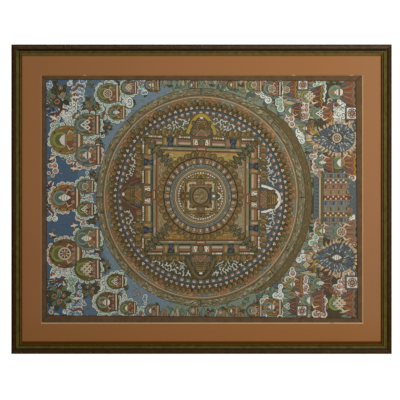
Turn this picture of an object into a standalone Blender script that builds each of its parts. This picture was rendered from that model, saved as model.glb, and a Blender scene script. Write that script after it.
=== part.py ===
"""A painted thangka cloth, flat behind a bevelled window mat in a mitred wooden frame.

Metres, +Z up. The picture faces -Y, with its own left at -X. The origin is on the flat
back of the frame, in the middle of the top rail, where a wall hanger takes hold.

From the back to the front: backing board, painted cloth, four mitred border strips of
brown cloth, window mat, and four rails whose lip holds the stack from the front.
"""
import math

import bmesh
import bpy

# The frame, outside.
FRAME_WIDTH = 0.800
FRAME_HEIGHT = 0.651
FRAME_DEPTH = 0.019

# The moulding, from its outer side inwards: dark bead, olive slope, inner lip.
FACE_WIDTH = 0.0225
BEAD_WIDTH = 0.0100
SLOPE_WIDTH = 0.0065
GROOVE_WIDTH = 0.0006
GROOVE_DEPTH = 0.0009
BEAD_SHOULDER = 0.0130
BEAD_INNER_HEIGHT = 0.0172
SLOPE_INNER_HEIGHT = 0.0156
LIP_OUTER_HEIGHT = 0.0152
LIP_INNER_HEIGHT = 0.0138
RABBET_WIDTH = 0.0060
RABBET_DEPTH = 0.0115
BEAD_STEPS = 8

# The stack in the rabbet.
GAP = 0.0003
MAT_THICKNESS = 0.0020
STRIP_THICKNESS = 0.0010
CLOTH_THICKNESS = 0.0012
BOARD_THICKNESS = 0.0030

# The mat's window at its front face, and how far its middle is off the frame's middle.
WINDOW_WIDTH = 0.679
WINDOW_HEIGHT = 0.524
WINDOW_SHIFT_X = 0.0010
BEVEL_WIDTH = 0.0020

# The painted area inside the border strips is a little out of square. Its corners, from
# the frame's middle: low left, low right, high right and high left.
PICTURE_CORNERS = ((-0.3256, -0.2442), (0.3289, -0.2503), (0.3249, 0.2485), (-0.3273, 0.2516))

# The cloth and its border strips run on behind the mat.
CLOTH_WIDTH = 0.706
CLOTH_HEIGHT = 0.552

# Where the origin lies: half way across the flat back of the top rail.
BACK_LAND = FACE_WIDTH - RABBET_WIDTH
FRAME_MIDDLE_Z = BACK_LAND / 2 - FRAME_HEIGHT / 2

# Distances in front of the back plane, worked out from the rabbet's floor forwards.
MAT_FRONT = RABBET_DEPTH - GAP
MAT_BACK = MAT_FRONT - MAT_THICKNESS
STRIP_FRONT = MAT_BACK - GAP
STRIP_BACK = STRIP_FRONT - STRIP_THICKNESS
CLOTH_FRONT = STRIP_BACK - GAP
CLOTH_BACK = CLOTH_FRONT - CLOTH_THICKNESS
BOARD_FRONT = CLOTH_BACK - GAP
BOARD_BACK = BOARD_FRONT - BOARD_THICKNESS

# Each mitred end stands back by half the gap, measured along its rail.
MITRE_SETBACK = GAP / 2 * math.sqrt(2)

# Colours are linear, as Principled BSDF takes them.
COLOURS = {
    "dark_wood": ((0.030, 0.014, 0.004, 1.0), 0.45),
    "mat_board": ((0.250, 0.100, 0.036, 1.0), 0.90),
    "border_cloth": ((0.092, 0.050, 0.026, 1.0), 0.85),
    "painted_cloth": ((0.090, 0.100, 0.075, 1.0), 0.80),
    "backing_board": ((0.230, 0.150, 0.080, 1.0), 0.90),
}


def clear_scene():
    for thing in list(bpy.data.objects):
        bpy.data.objects.remove(thing, do_unlink=True)


def make_material(name):
    colour, roughness = COLOURS[name]
    material = bpy.data.materials.new(name)
    material.use_nodes = True
    shader = material.node_tree.nodes["Principled BSDF"]
    shader.inputs["Base Color"].default_value = colour
    shader.inputs["Roughness"].default_value = roughness
    shader.inputs["Metallic"].default_value = 0.0
    return material


def make_object(name, rings, close_ends, material):
    """A closed solid from rings of (x, z, height) points, each joined to the next."""
    mesh = bmesh.new()
    loops = []
    for ring in rings:
        loops.append([mesh.verts.new((x, -height, z)) for x, z, height in ring])
    pairs = list(zip(loops, loops[1:]))
    if close_ends:
        mesh.faces.new(loops[0])
        mesh.faces.new(loops[-1])
    else:
        pairs.append((loops[-1], loops[0]))
    for first, second in pairs:
        count = len(first)
        for i in range(count):
            j = (i + 1) % count
            mesh.faces.new((first[i], first[j], second[j], second[i]))
    bmesh.ops.recalc_face_normals(mesh, faces=mesh.faces)
    data = bpy.data.meshes.new(name)
    mesh.to_mesh(data)
    mesh.free()
    thing = bpy.data.objects.new(name, data)
    bpy.context.collection.objects.link(thing)
    thing.data.materials.append(material)
    return thing


def rectangle(width, height, shift_x=0.0, shift_z=0.0):
    """Left, right, bottom and top edges of a rectangle about the frame's middle."""
    middle_z = FRAME_MIDDLE_Z + shift_z
    return (
        shift_x - width / 2,
        shift_x + width / 2,
        middle_z - height / 2,
        middle_z + height / 2,
    )


def corners(edges, height):
    left, right, bottom, top = edges
    return [
        (left, bottom, height),
        (right, bottom, height),
        (right, top, height),
        (left, top, height),
    ]


def bead_points():
    """The rounded outer bead: over from the shoulder on the outer side to its groove."""
    points = []
    middle = BEAD_WIDTH * 0.46
    for i in range(BEAD_STEPS + 1):
        turn = math.pi / 2 * i / BEAD_STEPS
        across = middle * (1 - math.cos(turn))
        rise = (FRAME_DEPTH - BEAD_SHOULDER) * math.sin(turn)
        points.append((across, BEAD_SHOULDER + rise))
    for i in range(1, BEAD_STEPS + 1):
        turn = math.pi / 2 * i / BEAD_STEPS
        across = middle + (BEAD_WIDTH - middle) * math.sin(turn)
        fall = (FRAME_DEPTH - BEAD_INNER_HEIGHT) * (1 - math.cos(turn))
        points.append((across, FRAME_DEPTH - fall))
    return points


def moulding_profile():
    """(distance in from the outer side, height above the back), round the section."""
    slope_start = BEAD_WIDTH + GROOVE_WIDTH
    slope_end = slope_start + SLOPE_WIDTH - GROOVE_WIDTH
    lip_start = slope_end + GROOVE_WIDTH
    lip_middle = (lip_start + FACE_WIDTH) / 2
    lip_rise = 0.0003
    points = [(0.0, 0.0)]
    points += bead_points()
    points += [
        (BEAD_WIDTH + GROOVE_WIDTH * 0.3, BEAD_INNER_HEIGHT - GROOVE_DEPTH),
        (slope_start, BEAD_INNER_HEIGHT - GROOVE_DEPTH * 0.4),
        (slope_end, SLOPE_INNER_HEIGHT),
        (slope_end + GROOVE_WIDTH * 0.4, SLOPE_INNER_HEIGHT - GROOVE_DEPTH),
        (lip_start, LIP_OUTER_HEIGHT),
        (lip_middle, (LIP_OUTER_HEIGHT + LIP_INNER_HEIGHT) / 2 + lip_rise),
        (FACE_WIDTH, LIP_INNER_HEIGHT),
        (FACE_WIDTH, RABBET_DEPTH),
        (BACK_LAND, RABBET_DEPTH),
        (BACK_LAND, 0.0),
    ]
    return points


def level_rail(name, top, material):
    """The top or bottom rail: each point of the section runs from mitre to mitre."""
    left, right, low, high = rectangle(FRAME_WIDTH, FRAME_HEIGHT)
    rings = []
    for side in (left, right):
        inwards = 1 if side == left else -1
        ring = []
        for across, height in moulding_profile():
            x = side + inwards * (across + MITRE_SETBACK)
            z = high - across if top else low + across
            ring.append((x, z, height))
        rings.append(ring)
    return make_object(name, rings, True, material)


def upright_rail(name, on_left, material):
    left, right, low, high = rectangle(FRAME_WIDTH, FRAME_HEIGHT)
    rings = []
    for end in (low, high):
        inwards = 1 if end == low else -1
        ring = []
        for across, height in moulding_profile():
            x = left + across if on_left else right - across
            z = end + inwards * (across + MITRE_SETBACK)
            ring.append((x, z, height))
        rings.append(ring)
    return make_object(name, rings, True, material)


def make_window_mat(material):
    outside = rectangle(FRAME_WIDTH - 2 * (BACK_LAND + GAP), FRAME_HEIGHT - 2 * (BACK_LAND + GAP))
    front_edge = rectangle(WINDOW_WIDTH, WINDOW_HEIGHT, WINDOW_SHIFT_X)
    back_edge = rectangle(WINDOW_WIDTH - 2 * BEVEL_WIDTH, WINDOW_HEIGHT - 2 * BEVEL_WIDTH, WINDOW_SHIFT_X)
    rings = [
        corners(outside, MAT_FRONT),
        corners(front_edge, MAT_FRONT),
        corners(back_edge, MAT_BACK),
        corners(outside, MAT_BACK),
    ]
    return make_object("window_mat", rings, False, material)


def make_border_strips(material):
    """Four strips with mitred ends, from the painted area out to the cloth's edge."""
    outer = corners(rectangle(CLOTH_WIDTH, CLOTH_HEIGHT), 0.0)
    inner = [(x, FRAME_MIDDLE_Z + z) for x, z in PICTURE_CORNERS]
    names = ("border_bottom", "border_right", "border_top", "border_left")
    for i, name in enumerate(names):
        j = (i + 1) % len(names)
        run_x = outer[j][0] - outer[i][0]
        run_z = outer[j][1] - outer[i][1]
        length = math.hypot(run_x, run_z)
        along = (run_x / length * MITRE_SETBACK, run_z / length * MITRE_SETBACK)
        plan = [
            (outer[i][0] + along[0], outer[i][1] + along[1]),
            (outer[j][0] - along[0], outer[j][1] - along[1]),
            (inner[j][0] - along[0], inner[j][1] - along[1]),
            (inner[i][0] + along[0], inner[i][1] + along[1]),
        ]
        front = [(x, z, STRIP_FRONT) for x, z in plan]
        back = [(x, z, STRIP_BACK) for x, z in plan]
        make_object(name, [front, back], True, material)


def make_slab(name, edges, front, back, material):
    return make_object(name, [corners(edges, front), corners(edges, back)], True, material)


def main():
    clear_scene()
    materials = {name: make_material(name) for name in COLOURS}
    wood = materials["dark_wood"]
    level_rail("rail_top", True, wood)
    level_rail("rail_bottom", False, wood)
    upright_rail("rail_left", True, wood)
    upright_rail("rail_right", False, wood)
    make_window_mat(materials["mat_board"])
    make_border_strips(materials["border_cloth"])
    cloth_edges = rectangle(CLOTH_WIDTH, CLOTH_HEIGHT)
    make_slab("painted_cloth", cloth_edges, CLOTH_FRONT, CLOTH_BACK, materials["painted_cloth"])
    board_edges = rectangle(FRAME_WIDTH - 2 * (BACK_LAND + GAP), FRAME_HEIGHT - 2 * (BACK_LAND + GAP))
    make_slab("backing_board", board_edges, BOARD_FRONT, BOARD_BACK, materials["backing_board"])


main()
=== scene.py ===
"""The looks of a framed thangka painting: frame, window mat, cloth border and painted cloth.

Metres, +Z up, the picture faces -Y. Inside the painting, shapes are in millimetres from
its middle, x to the right and z up, and later shapes are painted over earlier ones.
"""
import math
import random

import bmesh
import bpy
import numpy as np
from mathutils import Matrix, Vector, noise
from mathutils.geometry import delaunay_2d_cdt


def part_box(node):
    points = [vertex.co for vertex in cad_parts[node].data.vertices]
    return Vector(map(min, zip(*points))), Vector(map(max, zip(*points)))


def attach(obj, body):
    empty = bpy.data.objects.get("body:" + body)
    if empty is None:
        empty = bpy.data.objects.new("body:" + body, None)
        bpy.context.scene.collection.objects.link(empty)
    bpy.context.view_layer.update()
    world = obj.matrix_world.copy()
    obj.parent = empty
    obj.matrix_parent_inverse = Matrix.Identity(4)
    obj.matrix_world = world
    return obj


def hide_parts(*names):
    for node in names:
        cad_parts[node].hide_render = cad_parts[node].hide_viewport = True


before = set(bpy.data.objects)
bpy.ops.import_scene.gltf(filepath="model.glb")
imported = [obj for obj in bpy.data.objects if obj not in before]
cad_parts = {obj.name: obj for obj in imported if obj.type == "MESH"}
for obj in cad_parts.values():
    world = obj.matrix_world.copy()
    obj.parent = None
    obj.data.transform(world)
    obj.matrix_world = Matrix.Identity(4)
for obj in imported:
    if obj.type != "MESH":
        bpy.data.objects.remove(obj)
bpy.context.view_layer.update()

MM = 0.001
GAP = 0.3 * MM

# The frame's moulding, as it is cut: across its face, and up from its back.
RAIL_BOXES = {name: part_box(name) for name in ("rail_top", "rail_bottom", "rail_left", "rail_right")}
FRAME_LEFT = RAIL_BOXES["rail_left"][0].x
FRAME_RIGHT = RAIL_BOXES["rail_right"][1].x
FRAME_LOW = RAIL_BOXES["rail_bottom"][0].z
FRAME_HIGH = RAIL_BOXES["rail_top"][1].z
MIDDLE_X = (FRAME_LEFT + FRAME_RIGHT) / 2
MIDDLE_Z = (FRAME_LOW + FRAME_HIGH) / 2
FRAME_WIDTH = FRAME_RIGHT - FRAME_LEFT
FRAME_HEIGHT = FRAME_HIGH - FRAME_LOW

# The painting inside its border strips: its middle in metres, its size in millimetres.
PICTURE_X = MIDDLE_X - 0.3 * MM
PICTURE_Z = MIDDLE_Z + 2.8 * MM
PICTURE_WIDTH = 651.5
PICTURE_HEIGHT = 498.5
# How far the paint runs on under the border strips.
PAINT_MARGIN = 5.0


# ---------------------------------------------------------------- colours and materials

def linear(rgb):
    """Linear values of a colour given as 0 to 255 in sRGB."""
    parts = []
    for value in rgb:
        share = value / 255
        parts.append(share / 12.92 if share <= 0.04045 else ((share + 0.055) / 1.055) ** 2.4)
    return tuple(parts)


class Nodes:
    """A material's node tree, written down in short calls."""

    def __init__(self, name, roughness, bump_distance):
        self.material = bpy.data.materials.new(name)
        self.material.use_nodes = True
        self.tree = self.material.node_tree
        self.shader = self.tree.nodes["Principled BSDF"]
        self.shader.inputs["Roughness"].default_value = roughness
        self.shader.inputs["Specular IOR Level"].default_value = 0.2
        self.bump_distance = bump_distance
        self.coords = self.add("ShaderNodeTexCoord").outputs["Object"]

    def add(self, kind, **settings):
        node = self.tree.nodes.new(kind)
        for key, value in settings.items():
            setattr(node, key, value)
        return node

    def link(self, source, target):
        if isinstance(source, (int, float)):
            target.default_value = source
        elif isinstance(source, tuple):
            target.default_value = (*source[:3], 1.0)
        else:
            self.tree.links.new(source, target)

    def stretched(self, scale):
        node = self.add("ShaderNodeMapping")
        node.inputs["Scale"].default_value = scale
        self.tree.links.new(self.coords, node.inputs["Vector"])
        return node.outputs["Vector"]

    def noise(self, scale, detail=3.0, rough=0.55, vector=None):
        node = self.add("ShaderNodeTexNoise")
        node.inputs["Scale"].default_value = scale
        node.inputs["Detail"].default_value = detail
        node.inputs["Roughness"].default_value = rough
        self.tree.links.new(vector or self.coords, node.inputs["Vector"])
        return node.outputs["Fac"]

    def remap(self, value, low, high, to_low=0.0, to_high=1.0):
        node = self.add("ShaderNodeMapRange")
        for key, number in zip(("From Min", "From Max", "To Min", "To Max"), (low, high, to_low, to_high)):
            node.inputs[key].default_value = number
        self.tree.links.new(value, node.inputs["Value"])
        return node.outputs["Result"]

    def math(self, operation, first, second=0.0):
        node = self.add("ShaderNodeMath", operation=operation)
        self.link(first, node.inputs[0])
        self.link(second, node.inputs[1])
        return node.outputs[0]

    def mix(self, share, first, second, blend="MIX"):
        node = self.add("ShaderNodeMix", data_type="RGBA", blend_type=blend)
        self.link(share, node.inputs[0])
        self.link(first, node.inputs[6])
        self.link(second, node.inputs[7])
        return node.outputs[2]

    def place(self):
        """The coordinates one by one, by the names X, Y and Z."""
        split = self.add("ShaderNodeSeparateXYZ")
        self.tree.links.new(self.coords, split.inputs[0])
        return split.outputs

    def weave(self, pitch):
        """Plain weave seen from the front: threads along x and z that rise in turn."""
        place = self.place()
        turn = 2 * math.pi / pitch
        across = self.math("SINE", self.math("MULTIPLY", place["X"], turn))
        along = self.math("SINE", self.math("MULTIPLY", place["Z"], turn))
        return self.math("MULTIPLY", across, along)

    def bump(self, height, strength=1.0):
        node = self.add("ShaderNodeBump")
        node.inputs["Strength"].default_value = strength
        node.inputs["Distance"].default_value = self.bump_distance
        self.link(height, node.inputs["Height"])
        self.tree.links.new(node.outputs["Normal"], self.shader.inputs["Normal"])

    def colour(self, value):
        self.link(value, self.shader.inputs["Base Color"])

    def roughness(self, value):
        self.link(value, self.shader.inputs["Roughness"])


def wood_material(name, base, worn, roughness, wear_start=0.55):
    """Stained moulding: streaks along the rail, and bare wood where it is rubbed."""
    n = Nodes(name, roughness, 0.15 * MM)
    n.shader.inputs["Specular IOR Level"].default_value = 0.07
    streaks = n.noise(1.0, 6.0, 0.6, n.stretched((90, 400, 90)))
    tone = n.mix(n.remap(streaks, 0.3, 0.7), linear(base), linear([v * 1.3 + 4 for v in base]))
    spots = n.noise(160, 4.0, 0.65)
    wear = n.add("ShaderNodeAttribute", attribute_name="wear").outputs["Fac"]
    rubbed = n.math("MULTIPLY", n.remap(spots, wear_start, wear_start + 0.12), wear)
    n.colour(n.mix(rubbed, tone, linear(worn)))
    n.roughness(n.remap(spots, 0.3, 0.8, roughness - 0.08, roughness + 0.14))
    n.bump(n.math("ADD", streaks, n.math("MULTIPLY", spots, 0.6)), 0.5)
    return n.material


def raw_wood_material():
    n = Nodes("raw_wood", 0.8, 0.2 * MM)
    grain = n.noise(1.0, 7.0, 0.6, n.stretched((25, 300, 25)))
    n.colour(n.mix(n.remap(grain, 0.3, 0.7), linear((150, 112, 72)), linear((190, 152, 106))))
    n.bump(grain, 0.5)
    return n.material


def mat_board_material():
    n = Nodes("mat_paper", 0.92, 0.06 * MM)
    fibres = n.noise(900, 4.0, 0.7)
    clouds = n.noise(5, 2.0, 0.5)
    base = n.mix(n.remap(fibres, 0.35, 0.65), linear((149, 99, 57)), linear((164, 113, 69)))
    tone_and_sheen = n.mix(n.remap(clouds, 0.35, 0.7), base, linear((160, 107, 65)))
    place = n.place()
    # On the right the face is paler and bluer: a painted sheen.
    right = n.remap(place["X"], MIDDLE_X + 0.28, MIDDLE_X + 0.36)
    tone_and_sheen = n.mix(right, tone_and_sheen, n.mix(0.35, tone_and_sheen, linear((154, 114, 80))))
    # Towards the bottom the face is warmer and less blue.
    low = n.remap(place["Z"], MIDDLE_Z - 0.24, MIDDLE_Z - 0.28)
    tone_and_sheen = n.mix(low, tone_and_sheen, n.mix(0.5, tone_and_sheen, linear((157, 101, 47))))
    foxing = n.remap(n.noise(60, 5.0, 0.7), 0.70, 0.80, 0.0, 0.35)
    n.colour(n.mix(foxing, tone_and_sheen, linear((122, 78, 44))))
    n.bump(fibres, 0.6)
    return n.material


def plain_paper_material(name, rgb):
    """The mat's cut edge with its side's painted light or shade, or a shaded strip of its face, in one colour
    with fine fibres.
    """
    n = Nodes(name, 0.9, 0.05 * MM)
    fibres = n.noise(700, 4.0, 0.7)
    n.colour(n.mix(n.remap(fibres, 0.3, 0.7), linear(rgb), linear([v * 1.1 for v in rgb])))
    n.bump(fibres, 0.5)
    return n.material


def border_cloth_material():
    n = Nodes("border_cotton", 0.9, 0.12 * MM)
    threads = n.weave(0.9 * MM)
    patches = n.noise(70, 4.0, 0.65)
    slubs = n.noise(1.0, 3.0, 0.6, n.stretched((120, 120, 900)))
    tone = n.mix(n.remap(patches, 0.3, 0.7), linear((96, 72, 46)), linear((118, 91, 61)))
    tone = n.mix(n.remap(slubs, 0.5, 0.75, 0.0, 0.35), tone, linear((70, 50, 30)))
    # Darker at the mitred ends, where the strips join, and along the inner edge, where a shadow line is
    # painted.
    seam_and_edge_shade = n.add("ShaderNodeAttribute", attribute_name="seam_and_edge_shade").outputs["Fac"]
    tone = n.mix(n.math("MULTIPLY", seam_and_edge_shade, 0.75), tone, linear((40, 28, 16)))
    n.colour(n.mix(n.remap(threads, -1, 1, 0.35, 0.0), tone, linear((60, 42, 28))))
    n.bump(n.math("ADD", threads, patches), 0.7)
    return n.material


def paint_material():
    """Matt mineral colours on cotton: the colour is the mesh's own, worn to the weave."""
    n = Nodes("thangka_paint", 0.85, 0.08 * MM)
    paint = n.add("ShaderNodeAttribute", attribute_name="paint").outputs["Color"]
    threads = n.weave(0.8 * MM)
    pigment = n.noise(420, 5.0, 0.7)
    patches = n.noise(22, 4.0, 0.6)
    dark = n.mix(1.0, paint, (0.66, 0.63, 0.58), "MULTIPLY")
    light = n.mix(0.08, paint, linear((206, 190, 156)))
    tone = n.mix(n.remap(pigment, 0.32, 0.68), dark, light)
    tone = n.mix(n.remap(patches, 0.35, 0.75, 0.0, 0.1), tone, linear((104, 92, 66)))
    n.colour(n.mix(n.remap(threads, -1, 1, 0.16, 0.0), tone, linear((44, 36, 24))))
    n.roughness(n.remap(pigment, 0.3, 0.7, 0.75, 0.95))
    n.bump(n.math("ADD", n.math("MULTIPLY", threads, 0.5), pigment), 0.6)
    return n.material


def canvas_material():
    n = Nodes("bare_canvas", 0.95, 0.15 * MM)
    threads = n.weave(0.8 * MM)
    patches = n.noise(40, 3.0, 0.6)
    tone = n.mix(n.remap(patches, 0.3, 0.7), linear((176, 160, 130)), linear((200, 186, 156)))
    n.colour(n.mix(n.remap(threads, -1, 1, 0.3, 0.0), tone, linear((120, 104, 80))))
    n.bump(threads, 0.8)
    return n.material


def board_material():
    n = Nodes("fibreboard", 0.92, 0.1 * MM)
    fibres = n.noise(1.0, 5.0, 0.7, n.stretched((260, 260, 700)))
    stains = n.noise(9, 3.0, 0.6)
    tone = n.mix(n.remap(fibres, 0.3, 0.7), linear((128, 96, 62)), linear((158, 122, 84)))
    n.colour(n.mix(n.remap(stains, 0.5, 0.8, 0.0, 0.3), tone, linear((104, 76, 48))))
    n.bump(fibres, 0.5)
    return n.material


# ---------------------------------------------------------------- meshes

def new_piece(name, data, materials, slot, *nodes):
    piece = bpy.data.objects.new(name, data)
    bpy.context.scene.collection.objects.link(piece)
    for material in materials:
        data.materials.append(material)
    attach(piece, "root")
    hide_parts(*nodes)
    return piece


def finish_mesh(mesh, name, smooth_angle=None):
    bmesh.ops.recalc_face_normals(mesh, faces=mesh.faces)
    data = bpy.data.meshes.new(name)
    mesh.to_mesh(data)
    mesh.free()
    if smooth_angle is not None:
        data.shade_smooth()
        data.set_sharp_from_angle(angle=math.radians(smooth_angle))
    return data


# ---------------------------------------------------------------- the frame's rails

# Widths across the face and heights above the back, in millimetres.
FACE_WIDTH = 22.5
BEAD_WIDTH = 10.0
BEAD_CROWN = 4.6
BEAD_SHOULDER = 13.0
BEAD_INNER_HEIGHT = 17.2
SLOPE_WIDTH = 6.5
SLOPE_HEIGHT = 17.0
SLOPE_FALL = 1.4
RABBET_DEPTH = 11.5
BACK_LAND = 16.5
RAIL_STEP = 4.0 * MM
RAW = "raw"
# How far across each band of colour ends, in millimetres. The dark bands are painted shade where the
# grooves fall in shadow: inside the bead above and below, inside the slope at the sides.
RAIL_BANDS = {
    "rail_top": ((10.0, "bead_painted_sheen"), (14.8, "groove_shadow"), (20.4, "slope"), (FACE_WIDTH, "lip_tan")),
    "rail_bottom": ((8.6, "bead_painted_light"), (12.6, "shade_line"), (17.2, "slope"), (FACE_WIDTH, "lip_warm")),
    "rail_left": ((10.4, "bead"), (16.4, "slope"), (18.6, "shade_line"), (20.9, "lip_pale"),
                  (FACE_WIDTH, "lip_brown")),
    "rail_right": ((10.4, "bead"), (16.4, "slope"), (18.6, "shade_line"), (20.9, "lip_grey"),
                   (FACE_WIDTH, "lip_dark")),
}
# Each band's colour, its colour where it is rubbed, and its roughness. The top bead's sheen, the bottom
# bead's lighter tone and the dark bands are painted light and shade.
RAIL_PAINTS = {
    "bead": ((44, 25, 3), (104, 72, 38), 0.42),
    "bead_painted_sheen": ((58, 42, 24), (122, 92, 58), 0.42),
    "bead_painted_light": ((50, 34, 12), (104, 78, 46), 0.42),
    "groove_shadow": ((30, 16, 6), (52, 34, 18), 0.6),
    "shade_line": ((50, 36, 10), (70, 52, 22), 0.6),
    "slope": ((74, 66, 26), (118, 102, 52), 0.55),
    # The lips differ from rail to rail as painted light and shade: lighter on the top rail, darker on the
    # right and bottom rails.
    "lip_pale": ((84, 63, 17), (114, 86, 36), 0.5),
    "lip_grey": ((67, 49, 16), (96, 72, 32), 0.5),
    "lip_dark": ((62, 32, 6), (84, 50, 18), 0.5),
    "lip_tan": ((92, 70, 32), (130, 98, 50), 0.5),
    "lip_brown": ((67, 33, 4), (90, 52, 16), 0.5),
    "lip_warm": ((72, 46, 2), (96, 64, 16), 0.5),
}


def arc(middle, radii, start, end, steps):
    """Points on an ellipse, by angle in degrees."""
    points = []
    for i in range(steps + 1):
        turn = math.radians(start + (end - start) * i / steps)
        points.append((middle[0] + radii[0] * math.cos(turn), middle[1] + radii[1] * math.sin(turn)))
    return points


def moulding_section():
    """(across the face, up from the back, how worn), in millimetres, from the outer back corner."""
    section = [(0.0, 0.0, 0.3), (0.0, BEAD_SHOULDER * 0.5, 0.1)]
    for i, (across, up) in enumerate(arc((BEAD_CROWN, BEAD_SHOULDER), (BEAD_CROWN, 6.0), 180, 90, 12)):
        section.append((across, up, 0.9 if 4 <= i <= 8 else 0.3))
    for across, up in arc((BEAD_CROWN, BEAD_INNER_HEIGHT), (5.4, 1.8), 90, 0, 10)[1:]:
        section.append((across, up, 0.25))
    start = BEAD_WIDTH + 0.6
    end = BEAD_WIDTH + SLOPE_WIDTH
    section += [(BEAD_WIDTH + 0.1, 16.2, 0.0), (BEAD_WIDTH + 0.4, 16.2, 0.0)]
    section += [(start, 16.85, 0.4), (start + 0.3, SLOPE_HEIGHT, 0.5)]
    for i in range(1, 6):
        share = i / 6
        sag = 0.25 * math.sin(math.pi * share)
        section.append((start + (end - start) * share, SLOPE_HEIGHT - SLOPE_FALL * share - sag, 0.2))
    section += [(end - 0.2, 15.6, 0.6), (end, 15.45, 0.5)]
    section += [(end + 0.25, 14.7, 0.0), (end + 0.5, 14.8, 0.0)]
    for i, (across, up) in enumerate(arc((end + 3.0, 13.0), (2.6, 2.2), 165, 20, 8)):
        section.append((across, up, 0.6 if 2 <= i <= 5 else 0.2))
    section += [(FACE_WIDTH - 0.3, 13.4, 0.4), (FACE_WIDTH, 13.1, 0.4)]
    section += [(FACE_WIDTH, RABBET_DEPTH, 0.2), (BACK_LAND, RABBET_DEPTH, 0.0), (BACK_LAND, 0.0, 0.1)]
    return section


def band_of(name, first, second):
    """The band that holds the middle of a step of the section, raw on the back and in the rabbet."""
    if min(first[1], second[1]) < BEAD_SHOULDER * 0.4 or max(first[1], second[1]) <= RABBET_DEPTH:
        return RAW
    middle = (first[0] + second[0]) / 2
    return next(band for limit, band in RAIL_BANDS[name] if middle <= limit)


# Small knocks in each bead: metres along the rail, millimetres across it, and how deep.
KNOCKS = ((0.071, 3.0, 0.7), (0.236, 6.5, 0.5), (0.418, 2.0, 0.6), (0.562, 5.0, 0.5), (0.655, 1.0, 1.1))


def dent_depth(run, across):
    depth = 0.0
    for place, where, size in KNOCKS:
        away = math.hypot((run - place) / (2.2 * MM), (across - where) / 1.6)
        depth += size * 0.35 * MM * max(0.0, 1 - away * away)
    return depth


def make_rail(name, start, end, inwards, materials):
    """A rail from corner to corner, start and end being the frame's outer corners."""
    section = moulding_section()
    run = (end - start).normalized()
    length = (end - start).length
    count = max(2, round(length / RAIL_STEP))
    mesh = bmesh.new()
    wear_layer = mesh.verts.layers.float.new("wear")
    setback = GAP / math.sqrt(2)
    rings = []
    for k in range(count + 1):
        ring = []
        for across, up, worn in section:
            reach = across * MM + setback
            along = reach + (length - 2 * reach) * k / count
            height = up * MM
            if up > 2:
                ripple = noise.noise(Vector((along * 30, across * 0.3, start.z * 9)))
                height += 0.05 * MM * ripple - dent_depth(along, across) * (up > BEAD_SHOULDER)
            place = start + run * along + inwards * (across * MM)
            vertex = mesh.verts.new((place.x, -height, place.z))
            near_end = min(k, count - k) < 3
            vertex[wear_layer] = min(1.0, worn + (0.25 if near_end else 0.0))
            ring.append(vertex)
        rings.append(ring)
    bands = [RAW] + [band for _limit, band in RAIL_BANDS[name]]
    size = len(section)
    for i in range(size):
        j = (i + 1) % size
        slot = bands.index(band_of(name, section[i], section[j]))
        for first, second in zip(rings, rings[1:]):
            mesh.faces.new((first[i], first[j], second[j], second[i])).material_index = slot
    for ring in (rings[0], rings[-1]):
        mesh.faces.new(ring)
    data = finish_mesh(mesh, name, 35)
    return new_piece(f"{name}_moulding", data, [materials[band] for band in bands], "dark_wood", name)


def make_rails():
    materials = {name: wood_material(name, *paint) for name, paint in RAIL_PAINTS.items()}
    materials[RAW] = raw_wood_material()
    low_left = Vector((FRAME_LEFT, 0, FRAME_LOW))
    low_right = Vector((FRAME_RIGHT, 0, FRAME_LOW))
    high_left = Vector((FRAME_LEFT, 0, FRAME_HIGH))
    high_right = Vector((FRAME_RIGHT, 0, FRAME_HIGH))
    up = Vector((0, 0, 1))
    right = Vector((1, 0, 0))
    make_rail("rail_top", high_left, high_right, -up, materials)
    make_rail("rail_bottom", low_left, low_right, up, materials)
    make_rail("rail_left", low_left, high_left, right, materials)
    make_rail("rail_right", low_right, high_right, -right, materials)


# ---------------------------------------------------------------- mat, strips and board

WINDOW_X = MIDDLE_X + 1.0 * MM
WINDOW_WIDTH = 679.0
WINDOW_HEIGHT = 524.0
BEVEL_WIDTH = 2.0


def edge_loop(mesh, middle, width, height, front, steps):
    """A rectangle from its low left corner, each side in steps, in front of the back plane."""
    half_x, half_z = width / 2, height / 2
    corners = [(-half_x, -half_z), (half_x, -half_z), (half_x, half_z), (-half_x, half_z)]
    loop = []
    for (x0, z0), (x1, z1) in zip(corners, corners[1:] + corners[:1]):
        for k in range(steps):
            share = k / steps
            x = middle[0] + x0 + (x1 - x0) * share
            z = middle[1] + z0 + (z1 - z0) * share
            loop.append(mesh.verts.new((x, -front, z)))
    return loop


# The window's sides in the order of its loops: the cut edge's colour, lighter on the bottom and right
# and darker on the top as painted light and shade, and the steps along it where its face is chipped.
LIT_AND_SHADED_BEVELS = {"bottom": (204, 172, 130), "right": (206, 166, 118), "top": (140, 104, 64), "left": (150, 112, 74)}
CHIPS = {"bottom": (90,), "right": (), "top": (3, 21, 86), "left": ()}
CHIP_COLOUR = (170, 144, 112)
# Along the top and bottom rails the mat's face is brown from the lip's shade and dirt.
SHADES = {"bottom": (84, 49, 6), "right": None, "top": (101, 73, 35), "left": None}
SHADE_WIDTHS = {"bottom": 3.9, "top": 2.1}
SIDE_STEPS = 100
# The mat's material slots: its face, a cut edge for each side, a shaded face for each side, chips.
MAT_FACE, FIRST_BEVEL, FIRST_SHADE, CHIP = 0, 1, 5, 9


def bridge(mesh, first, second, slots):
    """Joins two loops, with a list of the material slots of the faces between them."""
    count = len(first)
    for i in range(count):
        j = (i + 1) % count
        mesh.faces.new((first[i], first[j], second[j], second[i])).material_index = slots[i]


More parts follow.
